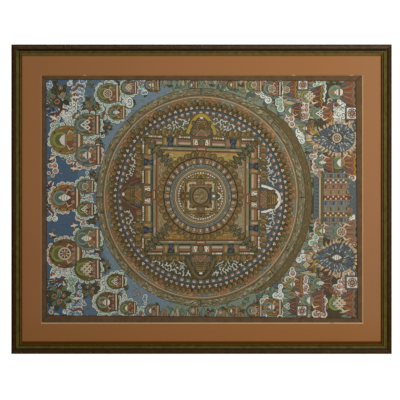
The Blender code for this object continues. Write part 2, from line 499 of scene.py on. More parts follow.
def make_window_mat():
    low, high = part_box("window_mat")
    outside = ((low.x + high.x) / 2, (low.z + high.z) / 2), high.x - low.x, high.z - low.z
    window = (WINDOW_X, MIDDLE_Z)
    front, back = -low.y, -high.y
    width, height = WINDOW_WIDTH * MM, WINDOW_HEIGHT * MM
    soft = 0.12 * MM
    inside = 2 * BEVEL_WIDTH * MM
    seen_x, seen_z = FRAME_WIDTH - 2 * FACE_WIDTH * MM, FRAME_HEIGHT - 2 * FACE_WIDTH * MM
    shade_top, shade_bottom = SHADE_WIDTHS["top"] * MM, SHADE_WIDTHS["bottom"] * MM
    plain = (MIDDLE_X, MIDDLE_Z + (shade_bottom - shade_top) / 2)
    plain_slots, shade_slots, bevel_slots = [], [], []
    for i, side in enumerate(LIT_AND_SHADED_BEVELS):
        plain_slots += [MAT_FACE] * SIDE_STEPS
        shade_slots += [FIRST_SHADE + i if SHADES[side] else MAT_FACE] * SIDE_STEPS
        bevel_slots += [CHIP if step in CHIPS[side] else FIRST_BEVEL + i for step in range(SIDE_STEPS)]
    # Each loop, and the slots of the faces from it to the next one.
    rings = (
        ((*outside, front), shade_slots),
        ((plain, seen_x, seen_z - shade_top - shade_bottom, front), plain_slots),
        ((window, width + 2 * soft, height + 2 * soft, front), plain_slots),
        ((window, width, height, front - soft), bevel_slots),
        ((window, width - inside, height - inside, back + soft), bevel_slots),
        ((window, width - inside, height - inside, back), plain_slots),
        ((*outside, back), plain_slots),
    )
    mesh = bmesh.new()
    loops = [edge_loop(mesh, *ring, SIDE_STEPS) for ring, _slots in rings]
    for i, (_ring, slots) in enumerate(rings):
        bridge(mesh, loops[i], loops[(i + 1) % len(loops)], slots)
    data = finish_mesh(mesh, "window_mat_board", 30)
    face = mat_board_material()
    materials = [face] + [plain_paper_material(f"mat_edge_painted_light_{side}", rgb) for side, rgb in LIT_AND_SHADED_BEVELS.items()]
    for side, rgb in SHADES.items():
        materials.append(plain_paper_material(f"mat_shade_{side}", rgb) if rgb else face)
    materials.append(plain_paper_material("mat_chip", CHIP_COLOUR))
    return new_piece("window_mat_board", data, materials, "mat_board", "window_mat")


def strip_plan(name):
    """The strip's outer corners and inner corners, taken from its CAD solid."""
    points = {(round(v.co.x, 6), round(v.co.z, 6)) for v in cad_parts[name].data.vertices}
    level = name in ("border_top", "border_bottom")
    sign = 1 if name in ("border_top", "border_right") else -1
    key = (lambda p: sign * p[1]) if level else (lambda p: sign * p[0])
    run = 0 if level else 1
    ordered = sorted(points, key=key)
    inner = sorted(ordered[:2], key=lambda p: p[run])
    outer = sorted(ordered[-2:], key=lambda p: p[run])
    return inner, outer


# How deep the fold along a strip's inner edge is, and how uneven that edge, in millimetres.
STRIP_FOLD, STRIP_UNEVEN = 0.35, 0.25
# Where the strips' grid has its lines: across from the inner edge, and along, close at the ends.
STRIP_ROWS = (0.0, 0.03, 0.05, 0.25, 0.5, 0.75, 1.0)
STRIP_RUNS = [0.0, 0.001, 0.0018] + [k / 90 for k in range(1, 90)] + [0.9982, 0.999, 1.0]


def make_strip(name, material):
    """A cut strip of cotton with slightly uneven edges and a soft fold along its inside."""
    inner, outer = ([Vector(p) for p in side] for side in strip_plan(name))
    low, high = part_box(name)
    mesh = bmesh.new()
    seam_and_shade_layer = mesh.verts.layers.float.new("seam_and_edge_shade")
    grids = []
    for depth in (low.y, high.y):
        grid = []
        for share in STRIP_ROWS:
            row = []
            for run in STRIP_RUNS:
                a = inner[0].lerp(inner[1], run)
                b = outer[0].lerp(outer[1], run)
                p = a.lerp(b, share)
                if share == 0 and math.sin(math.pi * run) > 0.05:
                    sway = noise.noise(Vector((run * 23, len(name), 0.5)))
                    p += (a - b).normalized() * sway * STRIP_UNEVEN * MM
                fold = STRIP_FOLD * MM if share == 0 and depth == low.y else 0.0
                vertex = mesh.verts.new((p.x, depth + fold, p.y))
                # The inner edge gets a painted shadow line; the mitred ends get a dark joint.
                vertex[seam_and_shade_layer] = 1.0 if share <= 0.03 or min(run, 1 - run) < 0.0012 else 0.0
                row.append(vertex)
            grid.append(row)
        grids.append(grid)
    rows, steps = len(STRIP_ROWS) - 1, len(STRIP_RUNS) - 1
    for grid in grids:
        for r0, r1 in zip(grid, grid[1:]):
            for k in range(steps):
                mesh.faces.new((r0[k], r0[k + 1], r1[k + 1], r1[k]))
    front, back = grids
    for i in (0, rows):
        for k in range(steps):
            mesh.faces.new((front[i][k], front[i][k + 1], back[i][k + 1], back[i][k]))
    for k in (0, steps):
        for i in range(rows):
            mesh.faces.new((front[i][k], front[i + 1][k], back[i + 1][k], back[i][k]))
    data = finish_mesh(mesh, f"{name}_strip", 40)
    piece = new_piece(f"{name}_strip", data, [material], "border_cloth", name)
    return piece


# ---------------------------------------------------------------- paints

# Seen colours, 0 to 255, chosen one by one.
PAINTS = {
    "canvas": (170, 156, 128),
    "sky": (71, 103, 131),
    "sky_pale": (122, 146, 160),
    "aqua": (134, 149, 126),
    "aqua_dark": (90, 108, 100),
    "cloud_white": (242, 246, 230),
    "cloud_mint": (176, 204, 180),
    "cloud_blue": (160, 188, 208),
    "cloud_pink": (206, 170, 150),
    "leaf": (66, 68, 40),
    "leaf_light": (104, 108, 62),
    "red": (142, 56, 40),
    "rust": (142, 84, 54),
    "pink": (176, 136, 120),
    "maroon": (106, 64, 52),
    "mustard": (184, 156, 40),
    "gold": (162, 124, 58),
    "gold_pale": (186, 154, 92),
    "olive": (106, 94, 46),
    "halo_olive": (106, 90, 54),
    "halo_green": (146, 152, 72),
    "stone": (132, 124, 94),
    "stone_light": (188, 180, 142),
    "stone_dark": (72, 64, 42),
    "line_dark": (34, 26, 15),
    "line_brown": (68, 50, 27),
    "cream": (230, 208, 170),
    "white": (244, 238, 222),
    "orange": (160, 114, 76),
    "blue_grey": (122, 128, 116),
    "green_grey": (120, 116, 86),
    "brown": (92, 73, 43),
    "brown_warm": (132, 104, 60),
    "tan": (154, 132, 92),
    "tan_grey": (160, 144, 110),
    "ring_blue": (70, 92, 104),
    "teal": (92, 116, 106),
    "ground_dark": (94, 92, 68),
    "near_black": (36, 34, 34),
    "deep_blue": (48, 62, 84),
    "navy": (44, 58, 84),
    "slate": (90, 102, 108),
    "sky_mid": (92, 122, 145),
    "rock": (126, 146, 134),
    "leaf_deep": (48, 58, 44),
    "red_brown": (108, 64, 44),
    "pink_brown": (149, 105, 82),
    "bud_gold": (128, 103, 53),
    "bud_olive": (104, 92, 50),
    "rim_cream": (200, 182, 148),
    "pale_grey": (214, 216, 206),
    "ground_blue": (76, 92, 96),
    "teal_pale": (129, 139, 108),
    "court_gold": (184, 158, 88),
    "mint_deep": (104, 132, 104),
    "flame": (200, 166, 124),
    "bud_light": (164, 132, 78),
}
PAINT_NAMES = list(PAINTS)
# Each paint has this many tints, from darker to lighter, so much apart.
TINTS = 7
TINT_STEP = 0.06
MIDDLE_TINT = TINTS // 2
CANVAS_KEY = MIDDLE_TINT
# How far a shape's tint may be off its paint: by one step, or by two.
PLAIN, VARIED = TINT_STEP, 2 * TINT_STEP
# The smallest shape that is kept, in square millimetres.
SMALLEST = 0.4


def wobble(x, z):
    """Where a hand-drawn point ends up, in millimetres."""
    place = Vector((x * 0.021, z * 0.021, 3.7))
    fine = Vector((x * 0.11, z * 0.11, 9.1))
    dx = 0.8 * noise.noise(place) + 0.25 * noise.noise(fine)
    dz = 0.8 * noise.noise(place + Vector((31, 0, 0))) + 0.25 * noise.noise(fine + Vector((0, 17, 0)))
    return x + dx, z + dz


def area_of(points):
    total = 0.0
    for (x0, z0), (x1, z1) in zip(points, points[1:] + points[:1]):
        total += x0 * z1 - x1 * z0
    return total / 2


def clipped(points, half_x, half_z):
    """The part of a shape inside a rectangle about the middle."""
    for axis, limit in ((0, half_x), (0, -half_x), (1, half_z), (1, -half_z)):
        sign = 1 if limit > 0 else -1
        kept = []
        for first, second in zip(points, points[1:] + points[:1]):
            inside = sign * first[axis] <= sign * limit
            if inside:
                kept.append(first)
            if inside != (sign * second[axis] <= sign * limit):
                share = (limit - first[axis]) / (second[axis] - first[axis])
                crossing = [a + (b - a) * share for a, b in zip(first, second)]
                crossing[axis] = limit
                kept.append(tuple(crossing))
        points = kept
        if len(points) < 3:
            return []
    return points


def grown(points, by):
    """The outline moved outwards, each corner along the mean of its edges' normals."""
    if area_of(points) < 0:
        points = points[::-1]
    count = len(points)
    result = []
    for i, (x, z) in enumerate(points):
        x0, z0 = points[i - 1]
        x1, z1 = points[(i + 1) % count]
        first = Vector((z - z0, x0 - x))
        second = Vector((z1 - z, x - x1))
        if first.length < 1e-9 or second.length < 1e-9:
            result.append((x, z))
            continue
        normal = first.normalized() + second.normalized()
        if normal.length < 0.3:
            normal = first.normalized()
        normal.normalize()
        reach = by / max(0.5, normal.dot(first.normalized()))
        result.append((x + normal.x * reach, z + normal.y * reach))
    return result


def turn_of(a, b, c):
    """Positive where a, b, c turn left."""
    return (b[0] - a[0]) * (c[1] - a[1]) - (b[1] - a[1]) * (c[0] - a[0])


def is_simple(points):
    """Whether no two sides of a closed outline cross."""
    count = len(points)
    sides = [(points[i], points[(i + 1) % count]) for i in range(count)]
    for i in range(count - 2):
        a, b = sides[i]
        for k in range(i + 2, count - (i == 0)):
            c, d = sides[k]
            if turn_of(a, b, c) * turn_of(a, b, d) <= 0 and turn_of(c, d, a) * turn_of(c, d, b) <= 0:
                return False
    return True


def hull(points):
    """The convex outline round the points, anticlockwise."""
    ordered = sorted(set(points))
    chains = []
    for run in (ordered, ordered[::-1]):
        chain = []
        for p in run:
            while len(chain) > 1 and turn_of(chain[-2], chain[-1], p) <= 0:
                chain.pop()
            chain.append(p)
        chains.append(chain[:-1])
    return chains[0] + chains[1]


class Painting:
    """The painted shapes in order. A shape's key is its paint and how thickly it was laid on."""

    def __init__(self, half_x, half_z):
        self.half_x = half_x
        self.half_z = half_z
        self.points = []
        self.faces = []
        self.keys = []
        self.chance = random.Random(7)  # for the tints

    def add(self, points, paint, tint=PLAIN):
        points = clipped([wobble(x, z) for x, z in points], self.half_x, self.half_z)
        if len(points) < 3 or abs(area_of(points)) < SMALLEST:
            return
        if area_of(points) < 0:
            points = points[::-1]
        if len(points) < 60 and not is_simple(points):
            points = hull(points)
        first = len(self.points)
        self.points += points
        self.faces.append(list(range(first, first + len(points))))
        level = round(self.chance.uniform(-tint, tint) / TINT_STEP)
        self.keys.append(PAINT_NAMES.index(paint) * TINTS + MIDDLE_TINT + level)


class Brush:
    """Paints shapes in its own place, turn, size and stretch; the placed points may be bent too."""

    def __init__(self, painting, x=0.0, z=0.0, turn=0.0, size=1.0, stretch=(1.0, 1.0), bend=None):
        self.painting = painting
        self.x, self.z, self.turn, self.size = x, z, turn, size
        self.cos, self.sin = math.cos(math.radians(turn)), math.sin(math.radians(turn))
        self.stretch = stretch
        self.bend = bend

    def at(self, x, z, turn=0.0, size=1.0):
        """A brush at a place of this one. A turn is clockwise, in degrees."""
        px, pz = self.place((x, z))
        return Brush(self.painting, px, pz, self.turn + turn, self.size * size, self.stretch, self.bend)

    def sized(self, size):
        """A brush for a motif that is drawn about one unit large."""
        return self.at(0, 0, size=size)

    def place(self, point):
        x, z = point[0] * self.size, point[1] * self.size
        x, z = x * self.cos + z * self.sin, z * self.cos - x * self.sin
        return (self.x + x * self.stretch[0], self.z + z * self.stretch[1])

    def fill(self, points, paint, line=0.0, edge="line_dark", tint=PLAIN):
        """A filled shape, over a slightly larger one where it has an outline."""
        placed = [self.place(p) for p in points]
        if self.bend:
            placed = [self.bend(*p) for p in placed]
        if line:
            self.painting.add(grown(placed, line), edge, tint)
        self.painting.add(placed, paint, tint)

    def oval(self, x, z, rx, rz, paint, line=0.0, edge="line_dark", steps=0, tint=PLAIN):
        steps = steps or max(8, min(40, round(4 + 3.2 * math.sqrt(max(rx, rz)))))
        self.fill(arc((x, z), (rx, rz), 0, 360 - 360 / steps, steps - 1), paint, line, edge, tint)

    def box(self, x0, z0, x1, z1, paint, line=0.0, edge="line_dark", tint=PLAIN):
        self.fill([(x0, z0), (x1, z0), (x1, z1), (x0, z1)], paint, line, edge, tint)

    def fleck(self, half, reach, paint, tint=PLAIN):
        """A small lozenge, half its width and half its length."""
        self.fill([(-half, 0), (0, -reach), (half, 0), (0, reach)], paint, tint=tint)

    def discs(self, rows, steps=240):
        """Discs one over another, the largest first: (radius, paint)."""
        for radius, paint in rows:
            self.fill(disc_points(radius, steps), paint)

    def stroke(self, points, width, paint, taper=False, line=0.0, edge="line_dark"):
        """A drawn line, as wide as the brush, which thins at its ends if it tapers."""
        count = len(points)
        left, right = [], []
        for i, (x, z) in enumerate(points):
            x0, z0 = points[max(0, i - 1)]
            x1, z1 = points[min(count - 1, i + 1)]
            away = math.hypot(x1 - x0, z1 - z0) or 1.0
            share = i / (count - 1)
            half = width / 2 * (0.25 + 0.75 * math.sin(math.pi * share) if taper else 1.0)
            nx, nz = (z1 - z0) / away * half, (x0 - x1) / away * half
            left.append((x + nx, z + nz))
            right.append((x - nx, z - nz))
        outline = left + right[::-1]
        if is_simple(outline):
            self.fill(outline, paint, line, edge, 0.04)
            return
        for i in range(count - 1):
            self.fill([left[i], left[i + 1], right[i + 1], right[i]], paint, tint=0.0)


def pick(chance, names):
    """One of the paints named in a string."""
    return chance.choice(names.split())


def mandala_place(radius, degrees):
    """A point by its radius and its clockwise angle from the top."""
    turn = math.radians(degrees)
    return (radius * math.sin(turn), radius * math.cos(turn))


def wedge(inner, outer, start, end, steps=4):
    """A piece of a ring between two angles."""
    angles = [start + (end - start) * i / steps for i in range(steps + 1)]
    outside = [mandala_place(outer, a) for a in angles]
    inside = [mandala_place(inner, a) for a in reversed(angles)]
    return outside + inside


def along_ring(spot, sway, chance):
    """A brush turned along the ring that it stands on, give or take."""
    return spot.at(0, 0, math.degrees(math.atan2(spot.x, spot.z)) + 90 + chance.uniform(-sway, sway))


def disc_points(radius, steps):
    return [mandala_place(radius, 360 * i / steps) for i in range(steps)]


def star(arms, outer, inner, first=0.0):
    """A star's outline, its first arm turned clockwise from the top by so many degrees."""
    points = []
    for k in range(arms):
        points.append(mandala_place(outer, first + 360 * k / arms))
        points.append(mandala_place(inner, first + 360 * (k + 0.5) / arms))
    return points


def mirrored(points, sign):
    return [(sign * x, z) for x, z in points]


def both_sides(side, top):
    """An outline from its right side, from the foot up, and the height of its tip."""
    return mirrored(side, -1) + [(0, top)] + side[::-1]


# ---------------------------------------------------------------- the mandala's rings

# The mandala is a little taller than it is wide.
MANDALA_MIDDLE = (-1.05, 1.05)
MANDALA_SIZE = 0.991
MANDALA_STRETCH = (0.979, 1.022)
# The rings' radii, and the width of the dark lines between them.
HALO_OUT = 242.0
STONE_OUT, STONE_IN = 226.5, 213.6
CREAM_OUT, SEGMENT_OUT, SEGMENT_IN = 209.8, 208.0, 197.6
PETAL_IN, BLUE_IN = 181.4, 172.2
LINE_WIDTH = 0.9
# Where the ring of buds has their feet and its white flowers, and the blue ring its pink ones.
BUD_FOOT, WHITE_FLOWERS, PINK_FLOWERS = 191.4, 186.2, 174.6
# How many pieces each ring has, and how many flecks are strewn over it, or over each length of it.
STONE_JOINTS, STONE_FLECKS = 8, 820
SEGMENTS, SEGMENT_FLECKS = 36, 13
BUDS = 96
BLUE_FLOWERS, BLUE_FLECKS = 78, 230
# Between which angles the olive shade lies outside the rings, and how many flecks it has.
HALO_START, HALO_END = 33, 152
HALO_FLECKS = 210


def paint_stone_ring(b):
    """Weathered stones with a grain along the ring, joints at eight places, a dark line inside."""
    chance = random.Random(11)
    b.discs(((STONE_OUT + LINE_WIDTH, "line_dark"), (STONE_OUT, "stone")))
    middle = (STONE_OUT + STONE_IN) / 2
    for _ in range(STONE_FLECKS):
        reach = chance.uniform(2.2, 6.5)
        place = mandala_place(middle + chance.uniform(-6.0, 6.0), chance.uniform(0, 360))
        spot = along_ring(b.at(*place), 28, chance)
        paint = pick(chance, "stone_light stone_dark stone_light tan_grey olive stone_dark")
        spot.fleck(chance.uniform(0.6, 1.3), reach, paint, VARIED)
    for k in range(STONE_JOINTS):
        angle = 360 / STONE_JOINTS * k
        b.fill(wedge(STONE_IN, STONE_OUT, angle - 0.2, angle + 0.3, 1), "line_brown")
    b.discs(((STONE_IN, "line_dark"), (STONE_IN - LINE_WIDTH, "brown_warm")))


def paint_segment_ring(b):
    """The ring of orange, blue-grey and green lengths, with a pale line round it."""
    chance = random.Random(12)
    b.discs(((CREAM_OUT, "rim_cream"), (SEGMENT_OUT, "line_brown")), 300)
    for k in range(SEGMENTS):
        start = 360 / SEGMENTS * k + 2 + chance.uniform(-0.3, 0.3)
        paint = ("orange", "blue_grey", "orange", "green_grey")[k % 4]
        b.fill(wedge(SEGMENT_IN, SEGMENT_OUT - 0.6, start, start + 10, 6), paint, tint=VARIED)
        for _ in range(SEGMENT_FLECKS):
            spot = b.at(*mandala_place(chance.uniform(199.5, 206.5), start + chance.uniform(0.5, 9.5)))
            shade = pick(chance, "stone olive rim_cream" if k % 2 else "tan brown_warm rim_cream")
            along_ring(spot, 15, chance).fleck(0.8, 2.6, shade)


def paint_bud(b, wide, tall, chance, line=0.7):
    """A dark-lined bud in gold, brown or olive, with a light fold and a dark heart."""
    half = wide / 2
    side = [(0.6, 0), (0.96, 0.26), (0.98, 0.62), (0.56, 0.92)]
    fold = ((-0.66, 0.34), (-0.3, 0.2), (-0.16, 0.56), (0, 0.84), (-0.5, 0.7))
    heart = ((0.1, 0.22), (0.56, 0.4), (0.3, 0.74))
    paint = pick(chance, "bud_gold brown_warm bud_olive bud_gold")
    b.fill([(x * half, z * tall) for x, z in both_sides(side, 1)], paint, line, tint=VARIED)
    b.fill([(x * half, z * tall) for x, z in fold], "bud_light")
    b.fill([(x * half, z * tall) for x, z in heart], pick(chance, "rust line_brown line_brown olive"))


def paint_petal_ring(b):
    """Buds with a white three-lobed flower below each, on dark brown."""
    chance = random.Random(13)
    b.discs(((SEGMENT_IN, "line_dark"), (SEGMENT_IN - 1.0, "brown")), 300)
    for k in range(BUDS):
        angle = 360 / BUDS * k + chance.uniform(-0.25, 0.25)
        gap = b.at(*mandala_place(192.6, angle + 1.9), angle)
        gap.oval(0, 0, 1.7, 3.4, pick(chance, "maroon leaf line_dark olive"), steps=6)
        paint_bud(b.at(*mandala_place(BUD_FOOT, angle), angle), 9.4, 10.2, chance)
        low = b.at(*mandala_place(WHITE_FLOWERS, angle + 1.3), angle + chance.uniform(-24, 24))
        trefoil = []
        for turn in (0, 120, 240):
            lobe = ((3.3, turn - 23), (3.3, turn + 23), (1.6, turn + 60))
            trefoil += [mandala_place(*point) for point in lobe]
        low.fill(trefoil, pick(chance, "white cream rim_cream"), 0.5, tint=VARIED)
        low.oval(0, 0.2, 1.3, 1.3, pick(chance, "pink red rust pink"), steps=6)


def paint_blue_ring(b):
    """A deep blue ring with square pink flowers, pale on top, along its inner edge."""
    chance = random.Random(14)
    b.discs(((PETAL_IN + LINE_WIDTH, "line_dark"), (PETAL_IN, "ring_blue")), 300)
    for _ in range(BLUE_FLECKS):
        angle = chance.uniform(0, 360)
        radius = chance.uniform(BLUE_IN + 3.5, PETAL_IN - 1.0)
        spot = b.at(*mandala_place(radius, angle), angle + chance.uniform(-20, 20))
        spot.fleck(chance.uniform(1.6, 3.4), 0.7, pick(chance, "teal near_black stone deep_blue brown"))
    b.discs(((BLUE_IN + LINE_WIDTH, "line_dark"), (BLUE_IN, "ground_dark")), 300)
    flower = ((-3.4, -3.8), (3.4, -3.8), (3.7, 1.6), (2.4, 3.4), (-2.4, 3.4), (-3.7, 1.6))
    pale_top = ((-3.7, 1.5), (-1.3, 0.9), (1.3, 0.9), (3.7, 1.5), (2.4, 3.4), (-2.4, 3.4))
    for k in range(BLUE_FLOWERS):
        angle = 360 / BLUE_FLOWERS * k + chance.uniform(-0.4, 0.4)
        head = b.at(*mandala_place(PINK_FLOWERS, angle), angle + chance.uniform(-8, 8))
        head.fill(flower, "pink", 0.6, tint=VARIED)
        head.fill(pale_top, "cream", tint=VARIED)
        head.oval(0, -1.7, 1.5, 1.2, pick(chance, "rust maroon red"), steps=6)


# ---------------------------------------------------------------- the grounds round the palace

# For the top, right, bottom and left: the ground, and what is strewn over it.
GROUNDS = (
    ("ground_dark", "olive leaf stone brown_warm"), ("ground_blue", "slate leaf sky stone_dark"),
    ("leaf", "teal stone_dark olive ground_blue"), ("brown", "leaf maroon stone_dark olive"),
)
# Rows of pale leaves: radius, first and last angle from the side's middle, how many.
LEAF_ROWS = ((164.5, 9.5, 40, 15), (157.0, 11, 33, 12), (149.5, 16, 30, 7))
# How many flecks lie on each half of a side's ground.
GROUND_FLECKS = 74


def paint_grounds(b):
    """Between the palace and the blue ring: pale curled leaves and waves on dark ground."""
    chance = random.Random(15)
    for side, (ground, strewn) in enumerate(GROUNDS):
        b.fill(wedge(0, BLUE_IN - 0.5, 90 * side - 45, 90 * side + 45, 60), ground, tint=0.0)
        for sign in (-1, 1):
            for _ in range(GROUND_FLECKS):
                angle = 90 * side + sign * chance.uniform(6, 46)
                spot = b.at(*mandala_place(chance.uniform(126, 169), angle), chance.uniform(0, 360))
                wide, high = chance.uniform(1.8, 3.8), chance.uniform(1.0, 2.2)
                spot.fleck(wide, high, pick(chance, strewn), VARIED)
            paint_pale_leaves(b, 90 * side, sign, chance)


def paint_pale_leaves(b, side, sign, chance):
    """Rows of pale curled leaves along the ring, over two long pale waves."""
    for row, (radius, first, last, count) in enumerate(LEAF_ROWS):
        for k in range(count):
            angle = side + sign * (first + (last - first) * (k + chance.uniform(-0.2, 0.2)) / (count - 1))
            place = mandala_place(radius + chance.uniform(-2, 2), angle)
            spot = b.at(*place, angle + chance.uniform(-50, 50))
            start, reach = chance.uniform(0, 360), chance.uniform(2.2, 3.4)
            curl = arc((0, 0), (reach, reach * 1.25), start, start + chance.choice((-1, 1)) * 190, 4)
            paint = pick(chance, "white pale_grey pale_grey white" if row < 2 else "pale_grey stone_light")
            spot.stroke(curl, 2.5, paint, True, 0.5)
    for radius, first, last, paint in ((146.5, 12, 31, "pale_grey"), (141.5, 14, 27, "stone_light")):
        points = []
        for i in range(12):
            angle = first + (last - first) * i / 11
            sag = 5.0 * math.sin(math.pi * i / 11)
            points.append(mandala_place(radius - sag + 1.1 * math.sin(i * 2.1), side + sign * angle))
        b.stroke(points, 2.6, paint, True, 0.6)


# ---------------------------------------------------------------- the palace

# The palace is drawn in units of this many millimetres, from its own middle.
PALACE_UNIT = 2.11
PALACE_MIDDLE = (-0.8, 4.6)
# How far the wall and the court reach from that middle, and how many flecks are strewn over each
# quarter of the court. The round in the court has a middle of its own, in millimetres.
WALL_OUT, COURT_HALF, COURT_FLECKS = 58.2, 43.4, 260
COURT_MIDDLE = (-1.5, 3.8)
# The top edge falls to the right by this share, the bottom edge is level. Between them, from so far
# below the palace's middle and over such a height, the fall grows.
LEAN, LEAN_FOOT, LEAN_HEIGHT = 0.033, -122.0, 126.0

# For the top, right, bottom and left: where the left, middle and right panels stand.
PANELS = ((-30.7, 0.5, 32.0), (-31.4, 1.6, 31.6), (-30.0, 0.0, 30.0), (-35.0, -0.8, 31.6))


def leaned(x, z):
    """Where a point of the palace lies once its top edge has its fall."""
    share = min(1.0, max(0.0, (z - PALACE_MIDDLE[1] - LEAN_FOOT) / LEAN_HEIGHT))
    return x, z - LEAN * (x - PALACE_MIDDLE[0]) * share


def wall_band(b, outer, inner, paint):
    """A length of wall with mitred ends, z being the distance out from the middle."""
    steps = 6
    top = [(-outer + 2 * outer * i / steps, outer) for i in range(steps + 1)]
    low = [(inner - 2 * inner * i / steps, inner) for i in range(steps + 1)]
    b.fill(top + low, paint, tint=0.0)


def paint_wall(b, stripes, court, panels, chance):
    """One side: stripes, the court's quarter, white merlons, three panels and outer buds."""
    inner_edges = [outer for outer, _paint in stripes[1:]] + [COURT_HALF]
    for (outer, paint), inner in zip(stripes, inner_edges):
        wall_band(b, outer, inner, paint)
    b.fill([(-COURT_HALF, COURT_HALF), (COURT_HALF, COURT_HALF), (0, 0)], court, tint=0.0)
    for _ in range(COURT_FLECKS):
        x, z = chance.uniform(-42, 42), chance.uniform(26, 42.5)
        if z > abs(x) + 1 and math.hypot(x, z) > 39:
            wide = chance.uniform(0.6, 1.6)
            paint = pick(chance, "olive rim_cream gold_pale cream rust line_brown rim_cream")
            b.at(x, z).fleck(wide, 0.4, paint, VARIED)
    left, middle, right = panels
    runs = ((-52.5, left - 8), (left + 9, middle - 11), (middle + 11.5, right - 8.5), (right + 9, 53))
    for start, end in runs:
        count = max(2, round((end - start) / 2.1))
        for k in range(count):
            x = start + (end - start) * k / count
            b.box(x, 56.9, x + 1.7, 58.5, pick(chance, "white cream rim_cream rim_cream"), 0.45, tint=VARIED)
    for sign in (-1, 1):
        for k in range(6):
            bud = b.at(sign * (18.5 + 6.0 * k) + chance.uniform(-0.4, 0.4), 59.6)
            paint_bud(bud, 5.8, chance.uniform(5.2, 6.6), chance)
    paint_middle_panel(b.at(middle, 0))
    for x in (left, right):
        paint_side_panel(b.at(x, 0), chance)


def paint_middle_panel(b):
    """Two pale birds beside a brown flower, in an olive and rust frame on a pale foot."""
    b.box(-10.6, 48.8, 10.6, 58.4, "leaf_light", 0.6)
    b.box(-9.8, 49.6, 9.8, 57.6, "rust", 0.3, "line_brown")
    b.box(-8.6, 50.2, 8.6, 56.6, "tan", 0.4)
    bird = ((3.4, 50.8), (6.2, 50.4), (7.2, 52.6), (6.0, 54.2), (6.6, 55.8), (4.8, 56.2), (4.4, 53.8),
            (3.2, 52.8))
    for sign in (-1, 1):
        b.box(sign * 8.4, 50.4, sign * 7.2, 56.4, "rim_cream", 0.25)
        b.fill(mirrored(bird, sign), "white", 0.6)
        b.oval(sign * 5.0, 52.2, 0.6, 0.9, "line_dark", steps=6)
    b.oval(0, 52.8, 3.6, 3.6, "leaf", 0.5, steps=10)
    b.oval(0, 52.6, 2.6, 2.9, "bud_gold", 0.3, steps=9)
    b.oval(0, 55.2, 1.7, 1.1, "teal", 0.3, steps=7)
    b.oval(-0.8, 51.8, 0.8, 0.8, "rust", steps=6)
    b.fill([(-5.6, 49.2), (5.6, 49.2), (4.6, 45.2), (-4.6, 45.2)], "rust", 0.5)
    b.box(-3.7, 45.8, 3.7, 47.2, "rim_cream", 0.3)


def paint_side_panel(b, chance):
    """A dark blue figure of two lobes between pale posts, in an orange frame on a pale foot."""
    b.box(-8.0, 48.6, 8.0, 58.0, "leaf_light", 0.6)
    b.box(-7.3, 49.4, 7.3, 57.2, "orange", 0.3, "line_brown")
    b.box(-6.2, 50.0, 6.2, 56.6, "tan", 0.3)
    for sign in (-1, 1):
        b.box(sign * 6.0, 50.3, sign * 4.2, 56.3, pick(chance, "rim_cream gold_pale pink"), 0.3)
    b.fill([(-3.6, 57.2), (3.6, 57.2), (3.0, 53.4), (2.0, 52.0), (2.8, 48.0), (-2.8, 48.0), (-2.0, 52.0),
            (-3.0, 53.4)], "near_black", 0.4)
    b.oval(0, 55.2, 2.7, 1.8, "deep_blue", 0.3, steps=8)
    b.oval(0.4, 55.4, 1.3, 0.8, "sky", steps=6)
    b.oval(0, 50.6, 1.9, 2.0, "ring_blue", 0.3, steps=8)
    b.oval(-1.4, 53.0, 0.9, 0.8, pick(chance, "rust teal maroon"), steps=6)
    b.box(-2.6, 45.3, 2.6, 46.9, "rim_cream", 0.4)


def paint_corner_chain(b, chance):
    """Dark round flowers along a diagonal, from the circle out to the wall's corner."""
    flowers = ((41.5, 2.4), (46.0, 3.0), (51.5, 3.5), (57.5, 3.3), (63.5, 3.4), (69.5, 3.2), (75.0, 2.7))
    for reach, size in flowers:
        x = z = reach * math.sqrt(0.5)
        for sign in (-1, 1):
            side = b.at(x + sign * size * 0.85, z - sign * size * 0.85)
            side.oval(0, 0, 1.7, 1.7, pick(chance, "ground_dark bud_olive leaf"), 0.6, steps=8)
            side.oval(0.3, 0.3, 0.7, 0.7, pick(chance, "stone tan teal"), steps=6)
        paint_round_flower(b.at(x + chance.uniform(-0.5, 0.5), z + chance.uniform(-0.5, 0.5)), size, chance)


def paint_round_flower(b, size, chance):
    """A dark flower head with petals round a gold middle."""
    b.oval(0, 0, size, size, pick(chance, "leaf ground_dark leaf"), 0.6, steps=10)
    for k in range(5):
        x, z = mandala_place(size * 0.6, 72 * k + 36)
        b.oval(x, z, size * 0.27, size * 0.27, pick(chance, "olive stone teal bud_gold"), steps=6)
    b.oval(0, 0, size * 0.32, size * 0.32, pick(chance, "gold brown_warm leaf_light"), 0.3, steps=7)


def arch_path(half, foot, top, power, steps=18):
    """From one foot over the top to the other; a higher power has a squarer crown."""
    points = []
    for i in range(steps + 1):
        turn = math.pi * i / steps
        x = -half * math.cos(turn)
        points.append((x, foot + (top - foot) * (1 - abs(x / half) ** power)))
    return points


